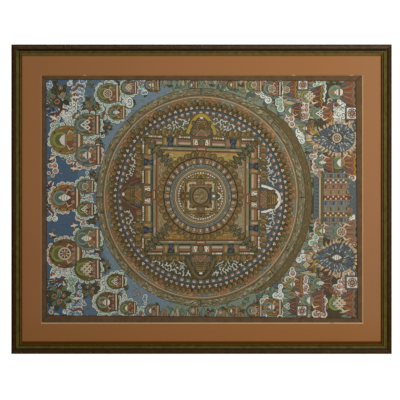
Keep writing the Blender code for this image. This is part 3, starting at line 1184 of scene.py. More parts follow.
def paint_gate(b, arch, width, half, foot, top, power, roof, flare):
    """A gate tower beyond the wall: an arch over a stepped roof and a checked hall."""
    inside = arch_path(half, foot, top, power)
    b.fill(inside, "leaf", 0.6)
    if flare:
        skirt = ((-1, -2), (1.6, -2.5), (3.4, 2), (flare, 4.2), (3, 7.5), (-2.6, 13), (-5.5, 15), (-3.4, 8))
        for sign in (-1, 1):
            b.fill([(sign * (half + x), foot + z) for x, z in skirt], arch, 0.6)
    b.stroke(inside, width, arch, line=0.7)
    spots = {"white": "white", "mustard": "gold_pale"}.get(arch, "pink_brown")
    b.stroke([(x * 0.985, z - 0.1) for x, z in inside[2:-2]], width * 0.24, spots)
    b.box(-10.4, 60.2, 10.4, 66.4, "maroon", 0.6)
    check = 1.43
    for row in range(4):
        for column in range(14):
            if (row + column) % 2:
                x, z = -10.0 + check * column, 60.6 + check * row
                b.box(x, z, x + check, z + check, "tan", tint=VARIED)
    for sign in (-1, 1):
        b.box(sign * 9.2, 60.2, sign * 11.0, 66.4, "ground_blue", 0.4)
    b.fill(both_sides([(6.6, 59.4), (4.6, 62.6), (2.2, 64.6)], 66.8), roof, 0.7)
    b.fill(both_sides([(3.6, 59.4), (2.6, 62.0)], 64.2), "pink_brown", 0.5)
    tiers = ((9.6, 66.4, 68.2, "olive"), (8.6, 68.2, 70.2, "bud_gold"), (6.2, 70.2, 72.6, "brown_warm"),
             (5.2, 72.6, 74.4, roof), (4.4, 74.4, 76.2, "brown_warm"))
    for half_wide, low, high, paint in tiers:
        narrow = half_wide * 0.86
        b.fill([(-half_wide, low), (half_wide, low), (narrow, high), (-narrow, high)], paint, 0.5)
        b.box(-half_wide * 0.8, low + 0.3, half_wide * 0.8, low + 0.8, "line_brown")
        for k in (-1, 1):
            b.oval(k * half_wide * 0.45, (low + high) / 2 + 0.2, 0.6, 0.5, "gold_pale", steps=6)
    for sign in (-1, 1):
        b.oval(sign * 8.0, 72.2, 2.0, 2.4, "ground_dark", 0.5, steps=8)
        b.oval(sign * 8.2, 72.4, 0.9, 1.1, "bud_olive", steps=6)
    b.oval(0, 77.4, 1.8, 1.2, "white", 0.5, steps=8)


# The arch's paint, its width, half its span, foot, top, how square it is, the tower's paint, and how far
# its skirt reaches.
GATES = (
    ("mustard", 3.4, 14.0, 61.4, 80.0, 2.3, "tan", 0), ("white", 2.6, 13.6, 60.4, 78.6, 3.2, "tan", 0),
    ("olive", 3.0, 14.0, 62.0, 82.0, 2.2, "tan", 0), ("maroon", 2.6, 14.6, 61.4, 80.0, 2.2, "gold", 12),
)
# For each side the wall's wide and thin stripes and the court.
WALLS = (
    ("pink_brown", "rim_cream", "court_gold"), ("orange", "rim_cream", "tan_grey"),
    ("pink_brown", "rim_cream", "gold"), ("gold", "rim_cream", "tan"),
)


def paint_palace(b):
    """The square palace: four walls, four gates, the court and the round in its middle."""
    chance = random.Random(17)
    palace = Brush(b.painting, *PALACE_MIDDLE, size=PALACE_UNIT, bend=leaned)
    for side in range(4):
        paint_gate(palace.at(0, 0, 90 * side).at(PANELS[side][1], 0), *GATES[side])
    for side, (wide, thin, court) in enumerate(WALLS):
        stripes = (
            (WALL_OUT + 0.8, "olive"), (56.6, "line_dark"), (55.6, wide), (52.6, thin), (50.6, "leaf_light"),
            (49.4, "line_dark"), (48.4, "deep_blue"), (47.8, "teal_pale"), (46.2, "gold_pale"),
            (45.3, "line_dark"), (44.7, "rust"),
        )
        paint_wall(palace.at(0, 0, 90 * side), stripes, court, PANELS[side], random.Random(30 + side))
    for side in range(4):
        paint_corner_chain(palace.at(0, 0, 90 * side), chance)
    middle = Brush(b.painting, *COURT_MIDDLE, stretch=MANDALA_STRETCH)
    paint_court_ring(middle, chance)
    paint_inner_round(middle, chance)


def paint_court_ring(b, chance):
    """Large buds round the court's middle, half hidden by the round in it."""
    for k in range(36):
        angle = 10 * k + chance.uniform(-0.8, 0.8)
        paint_bud(b.at(*mandala_place(79.4, angle), angle), 14.2, chance.uniform(12.0, 14.2), chance, 0.9)


def paint_inner_round(r, chance):
    """The round in the court: white-tipped petals, a blue-grey ring and tan rings."""
    r.discs(((80.4, "line_dark"), (77.8, "tan")), 120)
    petals = 32
    for k in range(petals):
        angle = 360 / petals * k
        r.fill(wedge(66.5, 77.6, angle + 3.4, angle + 7.8, 1), "maroon", tint=0.18)
        r.fill(wedge(68.0, 75.5, angle + 4.8, angle + 6.4, 1), pick(chance, "gold_pale brown_warm leaf"))
        tip = r.at(*mandala_place(67.6, angle), angle + chance.uniform(-6, 6))
        tip.fill([(-2.4, 0), (2.4, 0), (1.2, 3.2), (1.7, 5.4), (0, 7.4), (-1.7, 5.4), (-1.2, 3.2)],
                 pick(chance, "pale_grey cream"), 0.7)
        tip.oval(0, 1.6, 1.0, 1.0, "rust", steps=6)
    r.discs(((67.0, "line_dark"), (65.8, "blue_grey")), 120)
    for _ in range(150):
        angle, radius = chance.uniform(0, 360), chance.uniform(60.6, 65)
        spot = r.at(*mandala_place(radius, angle), angle + chance.uniform(-40, 40))
        shade = "teal sky pale_grey near_black blue_grey deep_blue"
        spot.fleck(chance.uniform(1.0, 2.4), 0.7, pick(chance, shade))
    r.discs(((60.0, "line_dark"), (59.2, "tan"), (57.0, "line_brown"), (55.8, "rim_cream"),
             (53.4, "line_brown"), (52.8, "tan_grey"), (50.5, "line_dark"), (49.8, "brown_warm")), 100)
    # Two rings of beads: how many, their radius, half their width and height, paints, line, corners.
    beads = ((56, 47.4, 1.9, 1.6, "cream white rim_cream white", 0.35, 7),
             (48, 43.6, 1.2, 1.4, "maroon slate gold bud_olive teal", 0.3, 6))
    for count, radius, rx, rz, paints, line, corners in beads:
        for k in range(count):
            x, z = mandala_place(radius, 360 / count * k)
            r.oval(x, z, rx, rz, pick(chance, paints), line, "line_brown", steps=corners)
    paint_small_palace(r, chance)


def paint_small_palace(b, chance):
    """The small palace inside the round, with its own gates, court and central disc."""
    for quarter in range(4):
        for k in range(13):
            angle = 90 * quarter + 22 + 3.8 * k
            spot = b.at(*mandala_place(chance.uniform(39, 43.5), angle), chance.uniform(0, 180))
            spot.fill([(-1.0, -2.4), (0.9, -2.0), (1.6, 0.4), (0.6, 2.6), (-0.8, 1.8), (0.2, 0)],
                      pick(chance, "white cream stone_light pale_grey"), 0.4)
    gates = ("mustard", "white", "tan", "maroon")
    for side in range(4):
        g = b.at(0, 0, 90 * side)
        g.fill([(-9.5, 34), (9.5, 34), (7.5, 41.5), (0, 45.2), (-7.5, 41.5)], "leaf", 0.6)
        g.stroke(arch_path(8.0, 35.0, 44.6, 2.4, 8), 2.2, gates[side], line=0.4)
        g.box(-4.6, 35, 4.6, 40.4, "bud_gold", 0.5)
        g.box(-2.2, 35, 2.2, 38.4, ("maroon", "teal", "rust", "pink")[side], 0.4)
    squares = ((36.4, "line_dark"), (35.2, "gold_pale"), (33.4, "line_dark"), (32.4, "olive"),
               (30.4, "court_gold"), (28.8, "line_dark"), (27.8, "teal_pale"), (25.8, "line_dark"),
               (24.8, "gold"), (22.6, "line_dark"), (21.6, "tan"))
    for half, paint in squares:
        b.box(-half, -half, half, half, paint, tint=0.0)
    for side in range(4):
        g = b.at(0, 0, 90 * side)
        for sign in (-1, 1):
            g.box(sign * 26, 25.0, sign * 9, 28.0, "cream", 0.5)
            g.box(sign * 21, 30.2, sign * 12, 33.8, ("orange", "teal", "gold", "maroon")[side], 0.5)
            g.box(sign * 34.0, 29.8, sign * 27, 34.0, "leaf_light", 0.5)
            g.oval(sign * 16, 23.8, 2.2, 1.6, ("rust", "sky", "leaf", "cream")[side], 0.5, steps=7)
        g.box(-8, 22.4, 8, 35.0, "bud_gold", 0.6)
        g.box(-5.4, 23.4, 5.4, 33.4, ("tan", "teal", "brown_warm", "olive")[side], 0.4)
        g.oval(0, 28.4, 2.8, 3.2, ("rust", "white", "teal_pale", "mustard")[side], 0.5, steps=8)
        g.box(-16, 18.8, 16, 21.4, ("tan_grey", "deep_blue", "olive", "teal")[side], 0.5)
    b.box(-18.8, -18.8, 18.8, 18.8, "bud_gold", 0.5)
    b.discs(((18.4, "maroon"), (17.5, "near_black"), (15.7, "tan")), 50)
    for k in range(3):
        x, z = mandala_place(7.8, 90 * k - 90)
        b.oval(x * 1.1, z, 3.0, 3.0, "olive", 0.0, steps=10)
        b.oval(x * 1.1, z, 2.1, 2.1, "tan", steps=9)
    for _ in range(70):
        x, z = mandala_place(14.5 * chance.random() ** 0.5, chance.uniform(0, 360))
        spot = b.at(x, z, chance.uniform(0, 180))
        spot.fleck(1.9, 0.9, pick(chance, "olive brown line_brown rim_cream"))


# ---------------------------------------------------------------- the scenery's motifs

def paint_cloud(b, lobes, paint, curl, chance, every=1):
    """A bank of rolled cloud: (x, z, radius) lobes in one pale scalloped rim, with curls."""
    for grow, rim in ((1.0, "navy"), (0.0, "cloud_white")):
        for x, z, radius in lobes:
            b.oval(x, z, radius + grow, radius + grow, rim, steps=9, tint=0.0)
    for x, z, radius in lobes:
        b.oval(x, z, radius * 0.74, radius * 0.74, paint, steps=8)
    for x, z, radius in lobes[::every]:
        turn, way = chance.uniform(0, 360), chance.choice((-1, 1))
        spiral = []
        for i in range(7):
            reach = radius * (0.74 - 0.09 * i)
            angle = math.radians(turn + way * 64 * i)
            spiral.append((x + reach * math.cos(angle), z + reach * math.sin(angle)))
        b.stroke(spiral, radius * 0.26, curl, True)


def cloud_lobes(length, height, chance):
    """Lobes heaped along a bank, with a thin tail at one end."""
    lobes = []
    count = max(3, round(length / 9.5))
    for i in range(count):
        share = (i + 0.5) / count
        tall = height * math.sin(math.pi * min(1.0, share * 1.15 + 0.05)) ** 0.7
        z = 0.0
        while z <= max(0.0, tall - 5):
            radius = chance.uniform(4.4, 8.4) * (0.7 if share > 0.85 else 1.0)
            lobes.append(((share - 0.5) * length + chance.uniform(-2, 2), z + chance.uniform(-1, 1), radius))
            z += radius * 1.2
    chance.shuffle(lobes)
    return lobes


def paint_collar(b, size, chance):
    """Small lobes of cloud that show all round a motif."""
    count = round(size * 0.66)
    lobes = []
    for k in range(count):
        x, z = mandala_place(1.0, 360 * k / count + chance.uniform(-6, 6))
        lobes.append((x * size * 1.1, z * size * 1.2, chance.uniform(4.6, 6.4)))
    paint_cloud(b, lobes, pick(chance, "cloud_mint cloud_pink cloud_mint"), "mint_deep", chance, 3)


def paint_puff(b, paint, curl, chance):
    """A small cloud of a few lobes."""
    lobes = [(chance.uniform(-6, 6), chance.uniform(-4, 4), chance.uniform(3.4, 5.6)) for _ in range(3)]
    paint_cloud(b, lobes, paint, curl, chance)


def paint_leaf(b, length, width, paint="leaf"):
    half = width / 2
    outline = [(0, 0), (half * 0.9, length * 0.3), (half * 0.8, length * 0.65), (0, length)]
    outline += [(-x, z) for x, z in outline[-2:0:-1]]
    b.fill(outline, paint, 0.6, tint=VARIED)
    b.fill([(-width * 0.07, length * 0.1), (width * 0.07, length * 0.1), (0, length * 0.85)], "leaf_light")


def paint_roundel(b, size, chance):
    """A round red flower with a pale notched rim."""
    b = b.sized(size)
    b.fill(star(7, 1, 0.8, chance.uniform(0, 45)), "rim_cream", 0.6)
    b.oval(0, 0, 0.68, 0.68, pick(chance, "red pink red"), 0.3, "maroon", steps=8)
    b.fill(star(4, 0.52, 0.2, chance.uniform(0, 72)), pick(chance, "pink maroon cream"))


def paint_bush(b, radius, chance):
    """Dark pointed leaves in layers, with red roundels among them."""
    for ring in range(3):
        count = 10 - 3 * ring
        for k in range(count):
            turn = 360 * k / count + chance.uniform(-14, 14)
            paint_leaf(b.at(*mandala_place(radius * (0.5 - 0.22 * ring), turn), turn), radius * 0.62,
                       radius * 0.42, pick(chance, "leaf leaf olive leaf_deep mint_deep"))
    for k in range(4):
        place = mandala_place(radius * chance.uniform(0.3, 0.75), 90 * k + chance.uniform(-25, 25))
        paint_roundel(b.at(*place), radius * chance.uniform(0.17, 0.24), chance)


def paint_ribbon(b, length, paint, chance):
    bend = chance.uniform(0.5, 1.0) * length * 0.16
    points = [(bend * math.sin(i * 0.9), length * (i / 8 - 0.5)) for i in range(9)]
    b.stroke(points, 4.2, paint, True, 0.6)


def paint_bird(b, size, chance):
    """A pale bird with rust wings, flying upwards."""
    b = b.sized(size)
    for sign in (-1, 1):
        wing = mirrored(((0, 0.3), (0.5, 0.6), (1, 0.15), (0.6, -0.2), (0.2, -0.3)), sign)
        b.fill(wing, pick(chance, "rust red maroon"), 0.5)
        b.fill(mirrored(((0.2, 0.25), (0.85, 0.2), (0.3, 0)), sign), "cream")
    b.fill([(0, 1), (0.2, 0.6), (0.3, 0), (0, -1), (-0.3, 0), (-0.2, 0.6)], "white", 0.5)


def paint_vase(b):
    b.fill([(0, 1.9), (0.4, 1.4), (0, 1), (-0.4, 1.4)], "pink", 0.5)
    b.fill(arc((0, 0), (0.7, 0.75), -60, 240, 10), "white", 0.6)
    b.box(-0.26, 0.5, 0.26, 1.0, "white", 0.5)
    b.box(-0.46, 0.9, 0.46, 1.1, "gold_pale", 0.4)
    b.box(-0.62, -0.12, 0.62, 0.16, "rust", 0.25)


def paint_wheel(b):
    b.oval(0, 0, 1, 1, "cream", 0.6, steps=14)
    b.oval(0, 0, 0.72, 0.72, "maroon", 0.4, steps=12)
    b.fill(star(8, 0.95, 0.24), "white", 0.3)
    b.oval(0, 0, 0.3, 0.3, "gold", 0.3, steps=8)


def paint_jewel(b):
    for x, z in ((-0.55, -0.25), (0.55, -0.25), (0, 0.5)):
        j = b.at(x, z)
        j.fill([(0, 0.8), (0.5, 0.1), (0, -0.5), (-0.5, 0.1)], "white", 0.5)
        j.oval(0, 0.1, 0.22, 0.26, "teal", 0.2, steps=6)


def paint_conch(b):
    b.fill([(0, 1.1), (0.45, 0.6), (0.62, 0), (0.3, -0.7), (0, -1), (-0.4, -0.4), (-0.5, 0.3)], "white", 0.6)
    for z in (0.6, 0.15, -0.3):
        b.stroke([(-0.4, z - 0.1), (0, z), (0.5, z - 0.15)], 0.13, "tan_grey")


def paint_knot(b):
    """An endless knot of crossed bands."""
    for turn, paint in ((45, "white"), (-45, "cream")):
        for k in (-0.62, 0, 0.62):
            b.at(0, 0, turn).box(-1, k - 0.15, 1, k + 0.15, paint, 0.4)


def paint_parasol(b):
    b.box(-0.08, -1, 0.08, 0.6, "gold_pale", 0.4)
    b.fill([(-0.95, 0.1), (0.95, 0.1), (0.55, 0.7), (0, 1), (-0.55, 0.7)], "white", 0.6)
    for k in range(-2, 3):
        b.box(k * 0.36 - 0.13, -0.2, k * 0.36 + 0.13, 0.16, "pink", 0.3)


# Each emblem is drawn about one unit large. The layout names them by their places here.
EMBLEMS = (paint_vase, paint_wheel, paint_jewel, paint_conch, paint_knot, paint_parasol)
WHEEL, CONCH = 1, 3


def paint_haloed(b, size, emblem, outer, inner, halo, chance):
    """A pale emblem with a halo and an oval glory, on a red lotus seat."""
    b = b.sized(size)
    b.oval(0, 0, 1.0, 1.15, outer, 0.9, steps=20)
    b.oval(0, -0.05, 0.8, 0.92, inner, 0.6, steps=16)
    for k in range(11):
        turn = 0.571 * k
        lick = b.at(0.89 * math.sin(turn), 1.02 * math.cos(turn), 32.7 * k)
        lick.fill([(-0.08, 0), (0, -0.08), (0.16, 0), (0, 0.07)], pick(chance, "gold_pale line_brown rust"))
    b.oval(0, 0.42, 0.6, 0.6, halo, 0.7, steps=14)
    b.oval(0, 0.42, 0.4, 0.4, "leaf_light" if halo == "halo_green" else "teal", 0.2, steps=10)
    for sign in (-1, 1):
        side = mirrored(((0, 0.1), (0.46, -0.05), (0.74, -0.52), (0.1, -0.64)), sign)
        b.fill(side, pick(chance, "rust maroon gold"), 0.6)
        b.stroke(mirrored(((0.3, 0), (0.66, -0.2), (0.5, -0.5)), sign), 0.12, "cream", True, 0.3)
    EMBLEMS[emblem](b.at(0, 0.06, size=0.46))
    paint_seat(b.at(0, -0.68, size=0.84), chance)


def paint_seat(b, chance):
    """A lotus seat on a red base with a pale line, one unit to each side."""
    b.box(-1, -0.46, 1, 0, pick(chance, "red_brown brown_warm maroon"), 0.7)
    b.box(-0.94, -0.32, 0.94, -0.16, "cream", 0.3)
    for k in range(-2, 3):
        x = k * 0.38
        b.fill([(x - 0.18, 0), (x + 0.18, 0), (x + 0.14, 0.22), (x, 0.34), (x - 0.14, 0.22)],
               "pink" if k % 2 else pick(chance, "rust tan blue_grey"), 0.4)


def paint_draped(b, size, emblem, paint, halo, chance):
    """A wide drapery with folds, and an emblem before a halo at its top."""
    b = b.sized(size)
    hem = []
    for k in range(9):
        x = -1.1 + 2.2 * k / 8
        hem.append((x, -0.9 + 0.14 * (k % 2) - abs(x) * 0.1))
    b.fill([(-0.35, 0.5), (0.35, 0.5), (0.8, -0.1)] + hem[::-1] + [(-0.8, -0.1)], paint, 0.8)
    for k in range(-3, 4):
        sway = chance.uniform(-0.06, 0.06)
        folds = [(0.1 * k + sway, 0.2), (0.2 * k, -0.3), (0.3 * k + sway, -0.8)]
        b.stroke(folds, 0.08, "maroon" if k % 2 else "tan", True)
    b.stroke([(x * 0.95, z + 0.12) for x, z in hem], 0.08, pick(chance, "mustard blue_grey"))
    b.oval(0, 0.6, 0.56, 0.56, halo, 0.8, steps=14)
    b.oval(0, 0.6, 0.38, 0.38, "mint_deep", 0.2, steps=10)
    for sign in (-1, 1):
        sleeve = mirrored(((0.2, 0.3), (0.66, 0), (0.5, -0.45)), sign)
        b.stroke(sleeve, 0.2, pick(chance, "slate cream"), True, 0.5)
    EMBLEMS[emblem](b.at(0, 0.32, size=0.4))


def glory_place(half_x, half_z, scale, turn):
    """A point on an oval whose top is drawn out to a tip."""
    x, z = mandala_place(scale, turn)
    rise = max(0.0, math.cos(math.radians(turn)))
    return half_x * x * (1 - 0.3 * rise), half_z * z * (1 + 0.42 * rise ** 4)


def paint_flames(b, half_x, half_z, chance):
    """A pointed slate glory with a pale flaming edge and rows of curled lines inside."""
    for scale, paint, tall in ((1.0, "flame", 0.26), (0.94, "cream", 0.24), (0.86, "rim_cream", 0.2)):
        for k in range(36):
            turn = 360 * (k + chance.uniform(-0.3, 0.3)) / 36
            reach = half_x * tall * chance.uniform(0.7, 1.3)
            tongue = b.at(*glory_place(half_x, half_z, scale, turn), turn)
            tongue.fill([(-2.0, 0), (2.0, 0), (1.5, reach * 0.45), (3.4, reach), (-0.6, reach * 0.6)], paint,
                        0.35, "red_brown", VARIED)
    b.fill([glory_place(half_x, half_z, 0.88, 12 * k) for k in range(30)], "slate", 0.9)
    for count, reach in ((40, 0.79), (34, 0.66), (28, 0.53), (20, 0.4)):
        for k in range(count):
            turn = 360 * (k + chance.uniform(-0.2, 0.2)) / count
            lick = b.at(*glory_place(half_x, half_z, reach, turn), turn)
            lick.fill([(-0.9, -3.6), (1.5, -0.6), (0.9, 1.6), (-1.3, 3.6), (-0.2, 0.4)],
                      pick(chance, "navy cream near_black sky_pale pale_grey bud_olive"))
    for scale, paint, line in ((0.33, "brown", 0.8), (0.27, "slate", 0.4)):
        b.fill([glory_place(half_x, half_z, scale, 24 * k) for k in range(15)], paint, line)


CANOPY_PAINTS = ("slate", "olive", "blue_grey", "sky_mid", "maroon", "tan", "pink_brown", "teal")


def paint_canopy(b, width, height):
    """A pavilion's hanging cloths: cream-edged stripes with shaped lower ends."""
    count = 9
    half = width / count / 2
    for k in range(count):
        checked = k % 3 == 1
        drop = height * (0.64 if checked else 0.5)
        cloth = b.at(-width / 2 + (2 * k + 1) * half, 0)
        for inset, paint in ((0.0, "rim_cream"), (0.2, CANOPY_PAINTS[k % len(CANOPY_PAINTS)])):
            h = half * (1 - inset)
            cloth.fill([(-h, -drop + half), (0, -drop - half * 0.3 + inset * 8), (h, -drop + half),
                        (h, height / 2), (-h, height / 2)], paint, 0.3 if inset else 0.6)
        for row in range(9):
            z = -height * 0.42 + height * row / 10
            if checked:
                for sign in (-1, 1):
                    x = sign * half * 0.4
                    cloth.box(x - half * 0.3, z, x + half * 0.3, z + height * 0.06,
                              "cream" if (row % 2) == (sign > 0) else "red")
            else:
                cloth.box(-half * 0.6, z, half * 0.6, z + height * 0.04,
                          ("tan", "pink", "line_brown")[(k + row) % 3], tint=VARIED)
    b.box(-width * 0.53, height / 2, width * 0.53, height * 0.6, "olive", 0.7)
    for k in range(15):
        b.oval(width * (k / 14 - 0.5), height * 0.55, 2.0, 1.4, ("rust", "teal")[k % 2], 0.3, steps=6)
    b.box(-width * 0.53, height * 0.6, width * 0.53, height * 0.66, "cream", 0.5)
    b.fill([(-width * 0.56, height * 0.66), (width * 0.56, height * 0.66), (width * 0.4, height * 0.86),
            (-width * 0.4, height * 0.86)], "slate", 0.7)
    for k in range(12):
        x = width * (k / 11 - 0.5) * 0.86
        b.fill([(x - 0.8, height * 0.68), (x + 0.8, height * 0.68), (x * 0.9, height * 0.84)], "line_dark")


def paint_tile_panel(b, half, chance):
    """A cream panel in blue and orange lines, with a rust wreath round a flower."""
    b = b.sized(half)
    for h, paint in ((1, "rust"), (0.92, "sky"), (0.8, "gold_pale"), (0.74, "cloud_white")):
        b.box(-h, -h, h, h, paint, 0.4)
    for k in range(9):
        x, z = mandala_place(0.46, 40 * k)
        b.oval(x, z, 0.22, 0.22, pick(chance, "rust maroon rust"), 0.4, steps=7)
        b.at(x, z).fill(star(3, 0.15, 0.06, chance.uniform(0, 90)), "white")
    b.oval(0, 0, 0.36, 0.36, "rust", 0.5, steps=10)
    paint_roundel(b, 0.26, chance)


def paint_rocks(b, width, height, chance):
    """Pointed aqua rocks with dark streaks between them."""
    count = max(3, round(width / 9))
    for k in range(count):
        x = -width / 2 + width * (k + 0.5) / count
        tall = height * chance.uniform(0.6, 1.0)
        half = width / count * 0.85
        tip = x + chance.uniform(-1, 1)
        b.fill([(x - half, 0), (x + half, 0), (x + half * 0.5, tall * 0.55), (tip, tall),
                (x - half * 0.5, tall * 0.6)], pick(chance, "aqua stone_light rock tan"), 0.9, "leaf_deep")
        for _ in range(3):
            sx = x + chance.uniform(-half * 0.6, half * 0.6)
            low, high = tall * chance.uniform(0.0, 0.3), tall * chance.uniform(0.5, 0.8)
            b.fill([(sx - 1.1, low), (sx + 1.1, low + 1), (sx + chance.uniform(-1.5, 1.5), high)],
                   pick(chance, "slate navy leaf olive rust"))


def paint_water(b, width, height, chance):
    """Dark water with short white and pale blue waves."""
    b.box(-width / 2, -height / 2, width / 2, height / 2, "navy", tint=0.0)
    for _ in range(round(width * height / 13)):
        x, z = chance.uniform(-width / 2, width / 2), chance.uniform(-height / 2, height / 2)
        b.fill([(x - 2.6, z - 0.6), (x, z + 1.6), (x + 2.6, z - 0.6), (x, z + 0.2)],
               pick(chance, "cloud_white sky_pale cloud_mint"))


# ---------------------------------------------------------------- the scenery's layout

# A motif turned so that its top points left.
UP = -90


def paint_scenery(b):
    """Sky on the left, rocky land on the right; the motifs' tops point left."""
    paint_backdrop(b)
    paint_strewn(b)
    paint_sky_side(b)
    paint_land_side(b)
    paint_top_and_bottom(b)


# How many short strokes the backdrop has, how many small leaves its land has, and how many larger
# ones its corners on the right have.
BACKDROP_STROKES, LAND_LEAVES, CORNER_LEAVES = 1100, 520, 84
# How many small motifs are strewn over what stays bare, and how far they stay apart.
STREWN_COUNT, STREWN_APART = 290, 12


def paint_kite(b, wide, high, paint, line):
    b.fill([(-wide, high * 0.3), (0, -high), (wide, high * 0.3), (0, high)], paint, line, "leaf_deep")


def paint_backdrop(b):
    """Bands of sky and land with uneven edges, brushed with short strokes."""
    half_x, half_z = b.painting.half_x, b.painting.half_z
    chance = random.Random(20)
    b.box(-half_x, -half_z, half_x, half_z, "sky", tint=0.0)
    for start, paint in ((-256, "sky_mid"), (-206, "sky_pale"), (-60, "aqua"), (232, "stone_dark")):
        edge = [(start + chance.uniform(-9, 9), half_z * (k / 14 - 1)) for k in range(29)]
        b.fill(edge + [(half_x, half_z), (half_x, -half_z)], paint, tint=0.0)
    b.fill([(236, -58), (half_x, -62), (half_x, 60), (238, 56)], "slate", tint=0.0)
    for _ in range(BACKDROP_STROKES):
        x, z = chance.uniform(-half_x, half_x), chance.uniform(-half_z, half_z)
        if math.hypot(x, z) < 222:
            continue
        reach = chance.uniform(2.5, 6.5)
        paints = "navy sky_pale sky_mid cloud_blue" if x < -150 else "teal aqua_dark cloud_mint olive"
        b.at(x, z, chance.uniform(60, 120)).fleck(0.8, reach, pick(chance, paints))
    for _ in range(LAND_LEAVES):
        x, z = chance.uniform(-60, half_x), chance.uniform(-half_z, half_z)
        if not 224 < math.hypot(x, z) < 300:
            continue
        wide, high = chance.uniform(2.6, 4.4), chance.uniform(5.0, 9.0)
        spot = b.at(x, z, chance.uniform(0, 360))
        paint_kite(spot, wide, high, pick(chance, "rock teal aqua aqua_dark mint_deep tan"), 0.8)
    for k in range(CORNER_LEAVES):
        angle = chance.uniform(8, 44)
        x, z = mandala_place(chance.uniform(236, 264), angle if k % 2 else 180 - angle)
        wide, high = chance.uniform(3.4, 5.2), chance.uniform(6.5, 10.5)
        spot = b.at(x, z, chance.uniform(0, 360))
        paint_kite(spot, wide, high, pick(chance, "rock teal slate aqua_dark cloud_mint tan"), 0.9)


# Places are x and z from the painting's middle. Round these, each with a radius, the sky stays open.
OPEN_SKY = (
    (-272, 60, 30), (-272, -60, 30), (-296, 58, 22), (-298, -62, 22), (-240, 52, 14), (-240, -50, 14),
    (-136, 232, 22), (-132, -236, 22), (-186, 150, 16), (-190, -146, 16), (-314, 108, 16),
    (-316, -110, 16),
)


def is_open_sky(x, z):
    return any(math.hypot(x - ox, z - oz) < radius for ox, oz, radius in OPEN_SKY)


# x, z, length, height, paint, curl
SKY_CLOUDS = (
    (-250, 226, 84, 28, "cloud_blue", "navy"), (-214, 196, 70, 26, "cloud_mint", "mint_deep"),
    (-268, 188, 84, 34, "cloud_white", "sky"), (-222, 132, 70, 28, "cloud_mint", "leaf_light"),
    (-256, 120, 120, 46, "cloud_pink", "red_brown"), (-238, 24, 64, 24, "cloud_blue", "navy"),
    (-242, -28, 66, 24, "cloud_pink", "maroon"), (-256, -122, 120, 46, "cloud_white", "sky"),
    (-218, -150, 70, 26, "cloud_pink", "maroon"), (-270, -190, 84, 34, "cloud_mint", "mint_deep"),
    (-206, -208, 84, 26, "cloud_white", "navy"), (-256, -230, 92, 28, "cloud_blue", "navy"),
    (-156, 220, 60, 20, "cloud_white", "sky"), (-160, -224, 60, 20, "cloud_mint", "mint_deep"),
    (-304, 150, 44, 16, "cloud_mint", "mint_deep"), (-306, -148, 44, 16, "cloud_white", "sky"),
    (-310, 74, 40, 14, "cloud_pink", "red_brown"), (-312, -30, 34, 12, "cloud_white", "sky"),
)
# x, z, size, emblem by its place in EMBLEMS, glory, inside, halo
SKY_HALOED = (
    (-284, 122, 30, 5, "gold", "brown_warm", "halo_green"),
    (-238, 90, 24, 0, "blue_grey", "slate", "aqua"), (-240, 154, 24, 2, "blue_grey", "olive", "aqua"),
    (-286, -118, 30, 1, "halo_olive", "rust", "halo_green"),
    (-240, -86, 24, 3, "blue_grey", "slate", "aqua"),
    (-240, -150, 24, 4, "olive", "brown_warm", "halo_green"), (-286, 0, 27, 3, "gold", "rust", "aqua"),
    (-244, 24, 16, 1, "blue_grey", "slate", "aqua"),
    (-244, -24, 16, 2, "blue_grey", "olive", "halo_green"),
    (-196, 220, 21, 1, "blue_grey", "olive", "halo_green"), (-198, -220, 21, 0, "olive", "rust", "aqua"),
    (-152, 232, 15, 4, "halo_olive", "slate", "aqua"),
    (-154, -232, 15, 5, "blue_grey", "brown_warm", "halo_green"),
    (-178, 180, 16, 3, "gold", "olive", "aqua"),
    (-180, -176, 16, 2, "halo_olive", "brown_warm", "halo_green"),
)
# x, z, radius
SKY_BUSHES = (
    (-300, 214, 26), (-232, 194, 19), (-300, -210, 26), (-234, -190, 19), (-226, 44, 12), (-228, -44, 12),
    (-204, 148, 15), (-206, -144, 15), (-216, 110, 12), (-218, -104, 12),
)
# x, z, size, turn
SKY_BIRDS = (
    (-310, 168, 11, -60), (-314, 84, 9, -120), (-310, -166, 11, -110), (-314, -78, 9, -70),
    (-264, 212, 10, -90), (-262, -212, 10, -90), (-268, 62, 9, -80), (-268, -58, 9, -100),
)
# x, z, length, turn
SKY_RIBBONS = (
    (-268, 166, 34, 20), (-296, 182, 30, 70), (-296, -176, 30, 110), (-218, 116, 26, 10),
    (-218, -112, 26, -15), (-316, 24, 26, 10), (-316, -26, 26, -10), (-262, 232, 30, 80),
    (-262, -236, 30, 100), (-206, 176, 22, 40),
)


def paint_sky_side(b):
    chance = random.Random(21)
    for z in (196, 0, -196):
        paint_water(b.at(-316, z), 26, 52, chance)
    for x, z, length, height, paint, curl in SKY_CLOUDS:
        turn = UP + chance.uniform(-18, 18)
        paint_cloud(b.at(x, z, turn), cloud_lobes(length, height, chance), paint, curl, chance)
    for x, z, length, turn in SKY_RIBBONS:
        paint_ribbon(b.at(x, z, turn), length, pick(chance, "rust red"), chance)
    for x, z, radius in SKY_BUSHES:
        paint_bush(b.at(x, z), radius, chance)
    for x, z, size, turn in SKY_BIRDS:
        paint_bird(b.at(x, z, turn), size, chance)
    for x, z, size, *_motif in SKY_HALOED:
        paint_collar(b.at(x, z, UP), size, chance)
    for x, z, *motif in SKY_HALOED:
        paint_haloed(b.at(x, z, UP), *motif, chance)


